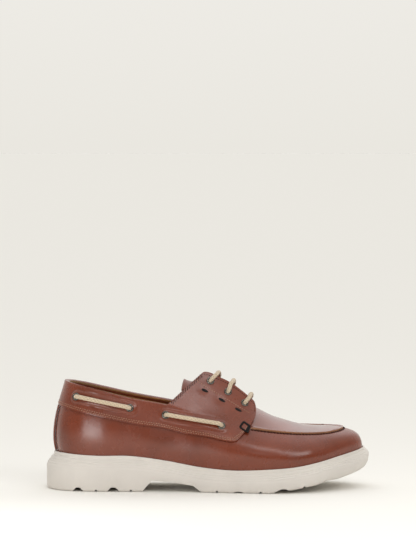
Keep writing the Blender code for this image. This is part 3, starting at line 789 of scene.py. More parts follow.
class LeatherFinish(bpy.types.PropertyGroup):
    colour: colour_field("Leather", "Waxed outer leather", (0.193, 0.041, 0.017))
    apron_colour: colour_field("Apron", "Leather of the apron", (0.22, 0.056, 0.029))
    tongue_colour: colour_field("Tongue", "Leather of the tongue", (0.19, 0.045, 0.021))
    raw_colour: colour_field("Cut edge", "Raw edge along the apron", (0.36, 0.16, 0.075))
    lining_colour: colour_field("Lining", "Leather lining forwards", (0.42, 0.19, 0.06))
    heel_lining_colour: colour_field("Heel lining", "Lining at the heel", (0.33, 0.20, 0.09))
    roughness: FloatProperty(name="Roughness", description="0 is glossy, 1 is matt",
                             min=0.1, max=1, default=0.26)


class SoleFinish(bpy.types.PropertyGroup):
    colour: colour_field("Rubber", "Off-white foam rubber", (0.71, 0.665, 0.612))
    columns: IntProperty(name="Columns", description="Faces round the outline",
                         min=60, max=600, default=300)


class StitchFinish(bpy.types.PropertyGroup):
    pitch: length_field("Pitch", "From one stitch to the next", 0.001, 0.006, 0.0023)
    thickness: length_field("Thickness", "Width of the thread", 0.0002, 0.002, 0.00075)
    light_colour: colour_field("Light thread", "Thread of the saddle rows", (0.40, 0.22, 0.15))
    # The dark thread's colour also paints the shade of the groove under the apron's edge, where the
    # apron's stitch runs as one wide band.
    dark_colour: colour_field("Dark thread", "Thread of the edges and apron", (0.055, 0.016, 0.010))
    # The black thread's colour is also the painted shade inside the slots.
    black_colour: colour_field("Black thread", "Thread of the box stitch", (0.012, 0.010, 0.010))


class LaceFinish(bpy.types.PropertyGroup):
    colour: colour_field("Lace", "Beige braided cotton", (0.63, 0.505, 0.36))
    width: length_field("Width", "Width of the lace", 0.002, 0.006, 0.0039)
    metal_colour: colour_field("Eyelets", "Dark nickel", (0.16, 0.15, 0.135))


GROUPS = {
    "shoe_leather": LeatherFinish,
    "shoe_sole": SoleFinish,
    "shoe_stitch": StitchFinish,
    "shoe_lace": LaceFinish,
}
finishes = {}


def finish_of(name):
    """Each material once, from the colours in the panel."""
    scene = bpy.context.scene
    skins, stitch, laces = scene.shoe_leather, scene.shoe_stitch, scene.shoe_lace
    makers = {
        "upper": (leather, "upper_leather", skins.colour, skins.roughness),
        "apron": (leather, "apron_leather", skins.apron_colour, skins.roughness + 0.04, 0.6, 0.9),
        "saddle": (leather, "saddle_leather", skins.colour, skins.roughness + 0.02),
        "tongue": (leather, "tongue_leather", skins.tongue_colour, skins.roughness + 0.06),
        "raw": (soft_leather, "raw_edge", skins.raw_colour, 0.6),
        "lining": (soft_leather, "lining_leather", skins.lining_colour, 0.7, skins.heel_lining_colour),
        "sock": (soft_leather, "sock_leather", skins.lining_colour, 0.72),
        "sole": (rubber, "sole_rubber", scene.shoe_sole.colour),
        "light thread": (thread, "light_thread", stitch.light_colour),
        "dark thread": (thread, "dark_thread", stitch.dark_colour),
        "black thread": (thread, "black_thread", stitch.black_colour),
        "lace": (braid, "lace_cotton", laces.colour),
        "metal": (metal, "eyelet_metal", laces.metal_colour),
    }
    if name not in finishes:
        make, *values = makers[name]
        finishes[name] = make(*values)
    return finishes[name]


# The sole

# Foot of the sole's side, rounded into its tread: share inwards and share upwards of the radius
TREAD_RADIUS = 2.4 * MM
TREAD_CORNER = ((0, 1.0), (0.12, 0.6), (0.35, 0.28), (0.65, 0.08), (1.0, 0.0))
# The sock's edge: how far it shrinks inwards and how far up, in mm
SOCK_EDGE = ((0, 0.0), (0, 1.8), (0.3, 2.5), (1.2, 3.0))
SOCK_DISH = 0.6 * MM


def softened(rows):
    """Cuts each corner of a section once, as a mould does."""
    rows = np.array(rows, float)
    a, b = rows[:-1], rows[1:]
    cut = np.stack([a * 0.75 + b * 0.25, a * 0.25 + b * 0.75], axis=1).reshape(-1, rows.shape[1])
    return np.vstack([rows[:1], cut, rows[-1:]])


def ring_at(place, out, height):
    ring = outline(place, out)
    ring[:, 2] = height
    return ring


def underside(points, s=None, t=None):
    return np.interp(points[:, 0], *UNDER_LINE)


def make_sole():
    columns = bpy.context.scene.shoe_sole.columns
    place = np.arange(columns) / columns * ROUND
    rim, overhang = rim_of(place), overhang_of(place)
    low = underside(outline(place))
    tall = np.minimum(1.0, (rim - low) / FULL_SIDE)
    rows = [(SOLE_GAP - overhang, rim - LIP_DEPTH - SOLE_GAP), (SOLE_GAP - overhang, rim - 0.5 * MM),
            (0.6 * MM - overhang, rim + 0.1 * MM)]
    rows += [((share - 1) * overhang, rim - drop * MM * tall)
             for share, drop in softened(softened(SIDE_STEPS))]
    rows += [(np.full(columns, -inset * TREAD_RADIUS), low + up * TREAD_RADIUS)
             for inset, up in TREAD_CORNER]
    rings = np.array([ring_at(place, out, height) for out, height in rows])
    rings[-1, :, 2] = underside(rings[-1])
    sole = closed_body("sole_dressed", rings, 24, (lambda points, s, t: points[:, 2], underside))
    for cutter in tread_cutters():
        modified(sole, "BOOLEAN", operation="DIFFERENCE", solver="EXACT", object=cutter)
        thrown_away(cutter)
    smooth(rounded_edges(sole, 0.4 * MM, 38), 30)
    return fit(sole, "sole", "sole_rubber", "sole")


def bar_across(profile):
    """A bar right across the shoe with this side profile of x and height."""
    rest_hands()
    bpy.ops.mesh.primitive_circle_add(vertices=len(profile), fill_type="NGON")
    piece = bpy.context.object
    set_places(piece, [(x, -BALL_WIDTH, z) for x, z in profile])
    through = {"value": (0, 2 * BALL_WIDTH, 0)}
    return outsides_out(edit_all(piece, bpy.ops.mesh.extrude_region_move, TRANSFORM_OT_translate=through))


def tread_cutters():
    """The bars that leave the arch and the grooves, from under the floor up to their roofs."""
    bars = [bar_across([(forward(x), upward(z)) for x, z in ARCH])]
    for *spans, height in GROOVES:
        x, width, roof = map(forward, spans)
        base, top = -2 * MM, upward(height)
        ground = np.interp(x, *UNDER_LINE)
        spread = (width - roof) / 2 * (top - base) / (top - ground)
        ends = (x - roof / 2 - spread, x - roof / 2, x + roof / 2, x + roof / 2 + spread)
        bars.append(bar_across(list(zip(ends, (base, top, top, base)))))
    return bars


def make_sock():
    """The leather sock over its board, dished a little down its middle."""
    columns = 120
    place = np.arange(columns) / columns * ROUND
    inset = UPPER_WALL + 0.9 * MM
    floor = rim_of(place) - LIP_DEPTH
    rings = np.array([ring_at(place, -overhang_of(place) - inset - shrink * MM, floor + up * MM)
                      for shrink, up in SOCK_EDGE])

    def dished(points, s, t):
        return points[:, 2] - SOCK_DISH * (1 - (2 * t - 1) ** 2) * np.sin(np.pi * s)

    piece = closed_body("sock_dressed", rings, 20, (lambda points, s, t: points[:, 2], dished))
    return fit(smooth(piece, 50), "sock", "sock_leather", "insole")


# The upper

WALL_COLUMNS = 10
# Heights of the wall's rows, closer where its top turns in to the seam
WALL_HEIGHTS = (*np.linspace(0, 0.86, 26), 0.90, 0.93, 0.95, 0.965, 0.976, 0.985, 0.992, 1.0)
SEAM_RISE = 0.965
# Ridge of the apron's seam: share of the way in to the apron, and height in mm
RIDGE = ((0.20, 1.45), (0.27, 1.62), (0.38, 1.66), (0.52, 1.38), (0.68, 0.86), (0.84, 0.36), (1.0, 0.0))
# Swelling over each hidden run of lace: its eyelets, height in mm, steepness of its edge, and
# depth in mm, distance and width of the furrow beside it
HIDDEN_RUNS = (
    ("heel_rear", "heel_front", 1.0, 3.0, 0.3, 6.7, 0.6),
    ("side_rear", "side_front", 0.7, 2.4, 0.2, 6.9, 0.7),
)
RUN_HALF_WIDTH = 5.6
# Dents at the slots and round the throat's eyelets: depth and width
SLOT_DENT = (0.5 * MM, 4.2 * MM)
EYELET_DENT = (0.3 * MM, 5.0 * MM)
# Folds of the vamp: station, rise, width and depth in mm
FOLDS = ((9.9, 0.55, 0.16, 0.25), (10.5, 0.65, 0.14, 0.30), (11.2, 0.6, 0.18, 0.22))


def distance_to_run(points, a, b):
    run = b - a
    t = np.clip(((points - a) @ run) / (run @ run), 0, 1)
    return np.linalg.norm(points - a - t[:, None] * run, axis=1)


def dent(points, spot, depth, width):
    near = np.linalg.norm(points - spot, axis=1)
    return depth * np.exp(-(near / width) ** 2)


def relief(place, rise):
    """How the overlays stand off or sink: over the hidden runs of lace, and round the slots."""
    points = on_overlay(place, rise)
    out = np.zeros(len(points))
    for lateral, _ in SIDES:
        spots = {tag: on_overlay(on_side(p, lateral), r)[0] for tag, (p, r) in EYELETS.items()}
        bulge = 0.0
        for first, second, height, steep, furrow, beside, width in HIDDEN_RUNS:
            near = distance_to_run(points, spots[first], spots[second]) / MM
            bulge += height * MM / (1 + np.exp((near - RUN_HALF_WIDTH) * steep))
            bulge -= furrow * MM * np.exp(-((near - beside) / width) ** 2)
        for p, r in SLOTS:
            bulge -= dent(points, on_overlay(on_side(p, lateral), r)[0], *SLOT_DENT)
        for tag in BAR_CORNERS:
            bulge -= dent(points, spots[tag], *EYELET_DENT)
        out += np.where((array(place) % ROUND < TOE) == lateral, bulge, 0)
    return out


def creases(place, rise):
    """Soft folds of the vamp where the foot bends."""
    station = station_of(place)
    out = np.zeros(len(station))
    for at, height, width, depth in FOLDS:
        slant = station - at - 0.5 * (rise - height)
        out -= depth * MM * np.exp(-(slant / width) ** 2) * np.exp(-((rise - height) / 0.25) ** 2)
    return out


def groove_depth(rise):
    """How deep the stitched groove under the apron's edge is."""
    return np.interp(rise, (0.945, 0.965, 0.982, 0.992, 1.0), (0, 0.12, 0.45, 0.62, 0.55)) * MM


def seam_lift(place, height):
    """How far the apron's seam stands out of the wall here."""
    return normal(place, SEAM_RISE) * (height * seam_share(place))[:, None]


def seam_place(s):
    return THROAT + s * (ROUND - 2 * THROAT)


def make_upper():
    """The lower upper, both facings' backing, the seam's ridge and the apron as one skin."""
    def wall_point(s, t):
        place = s * ROUND
        row = t * len(WALL_HEIGHTS)
        rise = np.interp(row - 1, range(len(WALL_HEIGHTS)), WALL_HEIGHTS)
        points = wall(place, rise)
        out = creases(place, rise) - groove_depth(rise) * seam_share(place)
        points = points + normal(place, rise) * out[:, None]
        points[:, 2] -= np.where(row < 0.5, LIP_DEPTH, 0)
        return points

    def facing_point(s, t, lateral):
        place = BACK_EDGE + s * (THROAT - BACK_EDGE)
        rise = np.maximum(1 + t * reach(place) * 0.985, 1.0000001)
        place = on_side(place, lateral)
        return over(place, rise, overlay_out(place, rise) - OVERLAY_WALL - OVERLAY_GAP)

    def raw_point(s, t):
        place = seam_place(s)
        low = -groove_depth(np.ones(len(s)))
        edge = top_of(place)
        back = (apron_edge(place) - edge) * (t * RIDGE[0][0])[:, None]
        return edge + back + seam_lift(place, low + t * (RIDGE[0][1] * MM - low))

    def ridge_point(s, t):
        place = seam_place(s)
        row = t * (len(RIDGE) - 1)
        inwards, up = (np.interp(row, range(len(RIDGE)), part) for part in zip(*RIDGE))
        edge = top_of(place)
        points = edge + (apron_edge(place) - edge) * inwards[:, None]
        return points + seam_lift(place, up * MM)

    def apron_point(s, t):
        return apron(THROAT + (s * (ARC - THROAT + tucked) - tucked), t * APRON_STEPS)

    hidden = 3
    tucked = hidden / WALL_COLUMNS
    span = (ROUND - 2 * THROAT) * WALL_COLUMNS
    parts = [last_it(cut_flat("upper_dressed", ROUND * WALL_COLUMNS, len(WALL_HEIGHTS)), wall_point)]
    parts += both_flaps((THROAT - BACK_EDGE) * WALL_COLUMNS, 16, facing_point)
    raw = last_it(cut_flat("raw", span, 3), raw_point)
    for skin in ("upper", "raw"):
        raw.data.materials.append(finish_of(skin))
    for face in raw.data.polygons:
        face.material_index = 1
    ridge = last_it(cut_flat("ridge", span, len(RIDGE) - 1), ridge_point)
    plug_of_apron = last_it(cut_flat("apron", (ARC - THROAT) * WALL_COLUMNS + hidden, 60), apron_point)
    for skin, pieces in (("upper", parts), ("apron", (ridge, plug_of_apron))):
        for piece in pieces:
            piece.data.materials.append(finish_of(skin))
    upper = sewn_together([*parts, raw, ridge, plug_of_apron], 0.01 * MM)
    smooth(give_wall(upper, UPPER_WALL * 0.9), 42)
    return fit(upper, None, "upper_leather", "upper")


def reach(place):
    """The share of its height that a facing has here, with both upper corners rounded."""
    def corner(distance, span, deep):
        t = np.clip(1 - distance / span, 0, 1)
        return 1 - deep * (1 - np.sqrt(np.maximum(1 - t * t, 0)))
    station = station_of(place)
    return corner(station - BACK_EDGE, 0.50, 0.075) * corner(THROAT - station, 0.30, 0.24)


def facing_place(s):
    """Places from a facing's back edge to the throat, closer at both ends where its corners turn."""
    s = s + 0.5 * (s - (1 - np.cos(np.pi * s)) / 2) * -1.6
    return BACK_EDGE + s * (THROAT - BACK_EDGE)


# How far the facing's front edge bows forwards and stands outwards, and over how many stations
FRONT_BOW = 2.6 * MM
BOW_LIFT = 0.9 * MM
BOW_SPAN = 0.4


def overlay_skin(place, t):
    """The overlays' outside: t 0 to 1 from their lower edge to the collar line, 1 to 2 up the facing."""
    low = band_rise(place)
    rise = np.where(t <= 1, low + (1 - low) * t, 1 + (t - 1) * reach(place))
    points = on_overlay(place, rise)
    ahead = unit(points - on_overlay(place - np.where(place % ROUND < TOE, 0.05, -0.05), rise))
    bow = np.clip((station_of(place) - THROAT + BOW_SPAN) / BOW_SPAN, 0, 1) ** 2
    bow = bow * np.sin(np.pi * np.clip(t / 0.9 - 1.22, 0, 1))
    out = relief(place, rise) + bow * BOW_LIFT
    return points + normal(place, rise) * out[:, None] + ahead * (bow * FRONT_BOW)[:, None]


def make_band():
    """The collar band with a saddle at each end, one run of leather from throat to throat."""
    low_rows, high_rows = 24, 32
    rows = low_rows + high_rows

    def front_point(s, t, lateral):
        row = t * rows
        level = np.where(row <= low_rows, row / low_rows, 1 + (row - low_rows) / high_rows)
        return overlay_skin(on_side(facing_place(s), lateral), level)

    parts = [last_it(cut_flat("collar_and_saddles", 240, low_rows),
                     lambda s, t: overlay_skin((2 * s - 1) * BACK_EDGE, t))]
    piece = sewn_together(parts + both_flaps(72, rows, front_point), 0.01 * MM)
    smooth(give_wall(piece, OVERLAY_WALL, 0.3 * MM), 40)
    return fit(piece, "saddle", "saddle_leather", "heel_collar", "saddle_lateral", "saddle_medial")


def make_backstay():
    def put(s, t):
        place = (2 * s - 1) * 0.40
        return on_overlay(place, 0.02 + t * (band_rise(place) - 0.03))

    piece = last_it(cut_flat("backstay_dressed", 16, 40), put)
    smooth(give_wall(piece, OVERLAY_WALL, 0.3 * MM), 40)
    return fit(piece, "saddle", "saddle_leather", "backstay")


# Section of the rolled collar edge in mm, outwards and upwards from the wall's top
ROLL = ((2.22, -1.7), (2.25, -0.8), (1.95, -0.1), (1.1, 0.25), (-0.1, 0.3), (-1.3, 0.1), (-2.2, -0.5),
        (-2.75, -1.8), (-2.9, -3.2), (-2.45, -4.2), (-1.9, -3.6), (-1.8, -1.6), (0.0, -0.8), (1.6, -1.8))
LINING_WALL = 0.6 * MM
TONGUE_WALL = 2.4 * MM


def make_collar_roll():
    """The soft edge of the collar, folded over the top and down the inside."""
    place = np.linspace(-BACK_EDGE - 0.02, BACK_EDGE + 0.02, 240)
    base = wall(place, 1.0)
    up = unit(base - wall(place, 0.95))
    profile = np.repeat((np.array(ROLL) * MM)[None], len(place), 0)
    piece = swept("collar_roll", base, normal(place, 0.97), up, profile)
    smooth(modified(piece, "SUBSURF", levels=1, render_levels=1), 60)
    return fit(piece, "saddle", "saddle_leather")


def make_lining():
    """Leather lining inside the walls and facings, under the collar's rolled edge."""
    depth = -(UPPER_WALL + 0.2 * MM)
    top, start = 0.995, 1.03

    def facing_point(s, t, lateral):
        place = BACK_EDGE + 0.05 + s * (THROAT - BACK_EDGE - 0.1)
        rise = np.maximum(top + t * (reach(place) - 0.02), start)
        return over(on_side(place, lateral), np.where(t == 0, top, rise), depth)

    parts = [last_it(cut_flat("lining_dressed", 180, 24),
                     lambda s, t: over(s * ROUND, 0.02 + t * 0.975, depth))]
    piece = sewn_together(parts + both_flaps(30, 14, facing_point), 0.001 * MM)
    smooth(give_wall(piece, LINING_WALL), 50)
    return fit(piece, "lining", "sock_leather")


def make_tongue():
    """The tongue, curved over the instep, with round corners at its free end."""
    rows = np.array(TONGUE, float)
    rounding = 0.08

    def put(s, t):
        x, ridge, half, drop = along(rows, s * (len(rows) - 1)).T
        share = 2 * t - 1
        round_end = np.where(s < rounding, (1 - s / rounding) ** 2, 0) * np.abs(share) ** 3
        back = 4 * MM * share * share * np.clip(1 - s * 9, 0, 1)
        return np.stack([forward(x) - back + round_end * 2 * MM, across(share * half),
                         upward(ridge - drop * share * share)], axis=1)

    piece = last_it(cut_flat("tongue_dressed", 70, 28), put)
    smooth(give_wall(piece, TONGUE_WALL, 0.5 * MM), 45)
    return fit(piece, "tongue", "tongue_leather", "tongue")


# Eyelets and laces

# Section of an eyelet in mm: radius, and height over the overlay
EYELET = ((2.0, -3.6), (2.0, -0.6), (2.05, 0.35), (2.35, 0.85), (2.8, 1.05), (3.25, 0.92), (3.6, 0.55),
          (3.7, 0.12), (3.55, 0.05), (2.55, 0.05), (2.45, -3.6))
# Places where each bar crosses the edge of the lateral and of the medial facing
BAR_CORNERS = {"top": (6.80, 6.62), "middle": (7.77, 7.61), "bottom": (8.61, 8.64)}
# Guide of a side lace: share of its length, or mm from its start or back from its end, and mm out
SIDE_GUIDE = ((0, -2.6), (0, 0.4), (2.2, 2.5), (5.0, 2.9), (0.25, 2.7), (0.5, 2.6), (0.75, 2.7),
              (-5.0, 2.9), (-2.2, 2.5), (1, 0.4), (1, -2.6))
# The lace: points round it, step along it, length of one turn of its braid, and depth of the braid
LACE_SIDES = 20
LACE_STEP = 0.7 * MM
BRAID_TURN = 4.2 * MM
BRAID_DEPTH = 0.028


def eyelet_blank():
    """One turned eyelet, extruded ring by ring from a circle and closed."""
    rest_hands()
    radius, height = EYELET[0]
    bpy.ops.mesh.primitive_circle_add(vertices=32, radius=radius * MM, location=(0, 0, height * MM))
    blank = bpy.context.object
    bpy.ops.object.transform_apply(location=True, rotation=False, scale=False)
    bpy.ops.object.mode_set(mode="EDIT")
    bpy.ops.mesh.select_all(action="SELECT")
    for (r0, z0), (r1, z1) in zip(EYELET, EYELET[1:] + EYELET[:1]):
        bpy.ops.mesh.extrude_region_move(TRANSFORM_OT_translate={"value": (0, 0, (z1 - z0) * MM)})
        bpy.ops.transform.resize(value=(r1 / r0, r1 / r0, 1), center_override=(0, 0, 0))
    bpy.ops.object.mode_set(mode="OBJECT")
    return outsides_out(sewn_together([blank], 0.005 * MM))


def make_eyelets():
    blank = eyelet_blank()
    for lateral, word in SIDES:
        for tag, (place, rise) in EYELETS.items():
            name = f"eyelet_{word}_{tag}"
            at = on_side(place, lateral)
            copy = copied(blank)
            copy.name = copy.data.name = name + "_dressed"
            spot = on_overlay(at, rise, relief(at, rise))[0]
            turn = Vector(normal(at, rise)[0]).to_track_quat("Z", "Y")
            copy.data.transform(Matrix.LocRotScale(Vector(spot), turn, None))
            fit(smooth(copy, 50), "metal", "eyelet_metal", name)
    thrown_away(blank)


def gone_along(line):
    """The length from the start of a run to each of its points."""
    return np.concatenate([[0], np.cumsum(np.linalg.norm(np.diff(line, axis=0), axis=1))])


def at_lengths(lengths, gone, line):
    return np.stack([np.interp(lengths, gone, line[:, k]) for k in range(3)], axis=1)


def lace_tube(name, guide, up, flatness):
    """A length of lace through guide points, flat side along up, with a UV map along it."""
    width = bpy.context.scene.shoe_lace.width
    guide = np.asarray(guide, float)
    fine = along(guide, np.linspace(0, len(guide) - 1, 40 * len(guide)))
    gone = gone_along(fine)
    steps = int(gone[-1] / LACE_STEP)
    even = at_lengths(np.linspace(0, gone[-1], steps + 1), gone, fine)
    run = unit(np.gradient(even, axis=0))
    sides = unit(np.cross(run, up(even)))
    angle = np.arange(LACE_SIDES) / LACE_SIDES * 2 * math.pi
    profile = np.stack([np.cos(angle) * width / 2, np.sin(angle) * width * flatness / 2], axis=1)
    turn = 2 * math.pi * np.arange(steps + 1)[:, None] * LACE_STEP / BRAID_TURN
    ripple = np.maximum(np.sin(4 * angle[None] + turn), np.sin(4 * angle[None] - turn))
    profile = profile[None] * (1 + BRAID_DEPTH * ripple)[..., None]
    piece = swept(name + "_dressed", even, sides, unit(np.cross(sides, run)), profile)
    for corner in piece.data.uv_layers.active.data:
        corner.uv = (corner.uv[1] * 4, corner.uv[0] * gone[-1] / BRAID_TURN / 6)
    fit(smooth(piece, 60), "lace", "lace_cotton", name)


def side_lace(lateral, name, first, second):
    """A straight length between two eyelets, held off the leather."""
    (p0, r0), (p1, r1) = ((on_side(p, lateral), r) for p, r in (EYELETS[first], EYELETS[second]))
    a, b = on_overlay(p0, r0)[0], on_overlay(p1, r1)[0]
    length = np.linalg.norm(b - a)
    points = []
    for t, out in SIDE_GUIDE:
        share = t * MM / length if t >= 2 else 1 + t * MM / length if t <= -2 else t
        place, rise = p0 + (p1 - p0) * share, r0 + (r1 - r0) * share
        away = normal(place, rise)[0]
        base = on_overlay(place, rise, relief(place, rise))[0]
        chord = a + (b - a) * share + away * 1.2 * MM
        if 0 < share < 1 and base @ away <= chord @ away:
            base = chord
        points.append(base + away * out * MM)
    middle = normal((p0 + p1) / 2, (r0 + r1) / 2)[0]
    lace_tube(name, points, lambda even: np.tile(middle, (len(even), 1)), 0.86)


def bar_guide(place, rise, corner_place, clear):
    """Out of the eyelet, up beside the facing's edge and over it."""
    across_it = normal(corner_place, 1.97)[0]
    up = unit(wall(corner_place, 1.99) - wall(corner_place, 1.93))[0]
    out = normal(place, rise)[0]
    spot = on_overlay(place, rise)[0]
    corner = on_overlay(corner_place, 1.98)[0]
    beside = corner + across_it * clear - up * 1.4 * MM
    low = spot + out * (clear + 0.3 * MM)
    return [
        spot - out * 2.6 * MM - up * 0.4 * MM,
        spot + out * 0.4 * MM,
        low * 0.72 + beside * 0.28,
        beside,
        corner + up * clear * 1.05 + across_it * clear * 0.05,
    ]


def make_laces():
    for lateral, word in SIDES:
        side_lace(lateral, f"lace_{word}_heel", "heel_rear", "heel_front")
        side_lace(lateral, f"lace_{word}_side", "side_rear", "side_front")
    clear = bpy.context.scene.shoe_lace.width * 0.42 + 0.3 * MM
    for tag, corners in BAR_CORNERS.items():
        place, rise = EYELETS[tag]
        left, right = (bar_guide(on_side(place, lateral), rise, on_side(corner, lateral), clear)
                       for (lateral, _), corner in zip(SIDES, corners))
        middle = (left[-1] + right[-1]) / 2 + (0.8 * MM, 0, 0)
        middle[2] = left[-1][2] + 0.9 * MM
        under = (left[0] + right[0]) / 2 - (0, 0, 0.02)
        lace_tube(f"lace_bar_{tag}", [*left, middle, *right[::-1]],
                  lambda even: unit((even - under) * (0.4, 1, 1)), 0.84)


# Stitches and slots

# Row along the middle of each facing, and corners of the box stitch, by place and rise
STRIP_LINE = ((6.12, 1.72), (6.801, 1.642), (7.302, 1.592), (7.927, 1.547), (8.442, 1.522), (8.97, 1.494))
BOX = ((8.79, 1.13), (8.695, 0.945), (8.87, 0.865), (8.985, 1.035))
BOX_WRAP = ((8.905, 0.845), (8.998, 0.985))
# Saddle rows from their front end, and their distances from the saddle's lower edge
SADDLE_FRONT = 8.93
SADDLE_ROWS = (1.6 * MM, 3.4 * MM)
# How far ahead of the facing's back edge its two crossed rows run, per rise
BACK_ROWS = (0.035, 0.10)
# Black capsules that paint the shade inside the slots: length, width and depth
SLOT_SIZE = (8.8 * MM, 2.8 * MM, 1.3 * MM)


def bead(segments, rings):
    rest_hands()
    bpy.ops.mesh.primitive_uv_sphere_add(segments=segments, ring_count=rings, radius=0.5)
    return bpy.context.object


def sew(name, seams, skin, slot, pitch, size, turn=0.0):
    """Copies one stitch along these seams, each a run of points and of directions out of the leather."""
    blank = bead(8, 6)
    template = places_of(blank)[:, (2, 1, 0)]
    pulled_in = 1 - np.abs(template[:, 0] * 2) ** 4 * 0.35
    template = template * size
    template[:, 1:] *= pulled_in[:, None]
    template[:, 2] += size[2] * 0.1
    faces = [tuple(reversed(f.vertices)) for f in blank.data.polygons]
    thrown_away(blank)
    points, all_faces = [], []
    for line, outs in seams:
        gone = gone_along(line)
        count = max(1, int(round(gone[-1] / pitch)))
        spots = (np.arange(count) + 0.5) / count * gone[-1]
        at, ahead, behind = (at_lengths(spots + d, gone, line) for d in (0, 0.3 * MM, -0.3 * MM))
        out = unit(at_lengths(spots, gone, outs))
        sideways = unit(np.cross(out, unit(ahead - behind)))
        run = unit(np.cross(sideways, out))
        c, s = math.cos(turn), math.sin(turn)
        run, sideways = run * c + sideways * s, sideways * c - run * s
        for p, r, w, o in zip(at, run, sideways, out):
            all_faces.extend(tuple(len(points) + v for v in f) for f in faces)
            points.extend(p + template @ (r, w, o))
    mesh = bpy.data.meshes.new(name)
    mesh.from_pydata(points, [], all_faces)
    piece = bpy.data.objects.new(name, mesh)
    bpy.context.scene.collection.objects.link(piece)
    fit(smooth(outsides_out(piece), 80), skin, slot)


def seam(place, rise, lateral, out=0.0):
    """A run over the overlays through these places and rises."""
    place = on_side(place, lateral)
    return on_overlay(place, rise, relief(place, rise) + out), normal(place, rise)


def make_stitches():
    stitch = bpy.context.scene.shoe_stitch
    pitch, thick = stitch.pitch, stitch.thickness
    plain = (pitch * 0.74, thick, thick * 0.8)
    light, dark, herring, boxes = [], [], [], []
    for lateral, _ in SIDES:
        place = np.linspace(0.0, SADDLE_FRONT, 400)
        low = band_rise(place)
        height = np.linalg.norm(wall(place, 1.0) - wall(place, low), axis=1)
        light += [seam(place, low + (1 - low) * inside / height, lateral) for inside in SADDLE_ROWS]
        strip = np.linspace(0, len(STRIP_LINE) - 1, 60)
        light.append(seam(*along(np.array(STRIP_LINE), strip).T, lateral))
        place = facing_place(np.linspace(0.03, 1, 120))
        dark.append(seam(place, 1 + reach(place) - 0.075, lateral))
        rise = np.linspace(1.04, 1.86, 60)
        herring += [seam(BACK_EDGE + rise * inside, rise, lateral) for inside in BACK_ROWS]
        for start, end in (*zip(BOX, BOX[1:] + BOX[:1]), BOX_WRAP):
            boxes.append(seam(*np.linspace(start, end, 20).T, lateral, 0.2 * MM))
    # The apron's stitch: beads longer than the pitch and wider than the thread run as one dark band,
    # which is the dark thread and also painted shade of the groove under the apron's edge.
    place = np.linspace(THROAT + 0.03, ROUND - THROAT - 0.03, 500)
    moc = [(wall(place, 0.975) - seam_lift(place, 0.1 * MM), normal(place, SEAM_RISE))]
    sew("saddle_rows", light, "light thread", "saddle_leather", pitch, plain)
    sew("edge_rows", dark, "dark thread", "saddle_leather", pitch, plain)
    sew("back_edge_stitch", herring, "dark thread", "saddle_leather", 2.3 * MM, (3 * MM, thick, thick),
        0.8)
    sew("box_stitch", boxes, "black thread", "saddle_leather", 0.6 * MM, (2 * MM, 1.1 * MM, 1.1 * MM),
        math.pi / 2)
    sew("apron_stitch_and_groove_shade", moc, "dark thread", "upper_leather", 3 * MM, (3.1 * MM, 1.8 * MM, 1.2 * MM))


def make_slots():
    """Three black capsules on each facing, set into the dents round the slots: painted shade for the dark
    inside of each slot.
    """
    for lateral, word in SIDES:
        blank = bead(24, 12)
        local = places_of(blank) * SLOT_SIZE
        parts = []
        for place, rise in SLOTS:
            here = on_side(place, lateral)
            spot = on_overlay(here, rise, relief(here, rise))[0]
            out = normal(here, rise)[0]
            run = unit(on_overlay(on_side(place + 0.2, lateral), rise - 0.0148)[0] - spot)
            parts.append(copied(blank))
            set_places(parts[-1], spot - out * 0.1 * MM + local @ (run, np.cross(out, run), out))
        thrown_away(blank)
        piece = sewn_together(parts, 0.0001 * MM)
        piece.name = piece.data.name = f"slots_{word}"
        fit(smooth(outsides_out(piece), 60), "black thread", "saddle_leather")


# Stage

PHOTO_LENS = 178.0
CAMERA_RANGE = 2.5
CAMERA_UP = 6.0
SHOE_MIDDLE = 0.05
FRAME_SHIFT = 0.2968
FAR_AWAY = 600
PAPER = (0.905, 0.89, 0.848)
# Brightness of the room by height and depth, from low before the shoe to high behind it
ROOM = ((0.24, (0.08, 0.08, 0.08)), (0.40, (0.12, 0.12, 0.12)), (0.62, (0.45, 0.44, 0.42)),
        (0.75, (0.822, 0.80, 0.745)), (0.88, (0.98, 0.97, 0.95)), (0.95, (1.4, 1.4, 1.4)),
        (1.0, (1.6, 1.6, 1.6)))
ROOM_UP = (0.0, 0.5, 0.866)
# Soft lights: name, where it hangs, what it points at, its width and height, and its watts
SOFTBOXES = (
    ("heel_softbox", (-0.235, -0.38, 0.068), (-0.115, -0.03, 0.055), (0.13, 0.124), 0.30),
    ("vamp_softbox", (0.588, -0.878, 0.655), (0.085, -0.045, 0.04), (0.51, 0.42), 2.8),
    ("facing_softbox", (0.152, -0.878, 0.932), (-0.005, -0.045, 0.085), (0.36, 0.30), 1.3),
    ("band_softbox", (-0.16, -2.80, 1.12), (-0.095, -0.033, 0.08), (0.46, 0.30), 1.3),
)


def placed(name, data, place, aim):
    """A light or camera in the scene, turned to its aim."""
    made = bpy.data.objects.new(name, data)
    bpy.context.scene.collection.objects.link(made)
    made.location = place
    made.rotation_euler = (Vector(aim) - Vector(place)).to_track_quat("-Z", "Y").to_euler()
    return made


def light_room():
    """A dim room before the shoe, with a bright ceiling and backdrop behind it."""
    world = bpy.data.worlds.new("studio")
    world.use_nodes = True
    tree = world.node_tree
    towards = node(tree, "ShaderNodeVectorMath", {
        0: node(tree, "ShaderNodeTexCoord").outputs["Generated"], 1: ROOM_UP}, operation="DOT_PRODUCT")
    half = maths(tree, "MULTIPLY_ADD", towards.outputs["Value"], 0.5, 0.5)
    plug(tree, tree.nodes["Background"], {"Color": ramp(tree, half, ROOM), "Strength": 1.0})
    bpy.context.scene.world = world


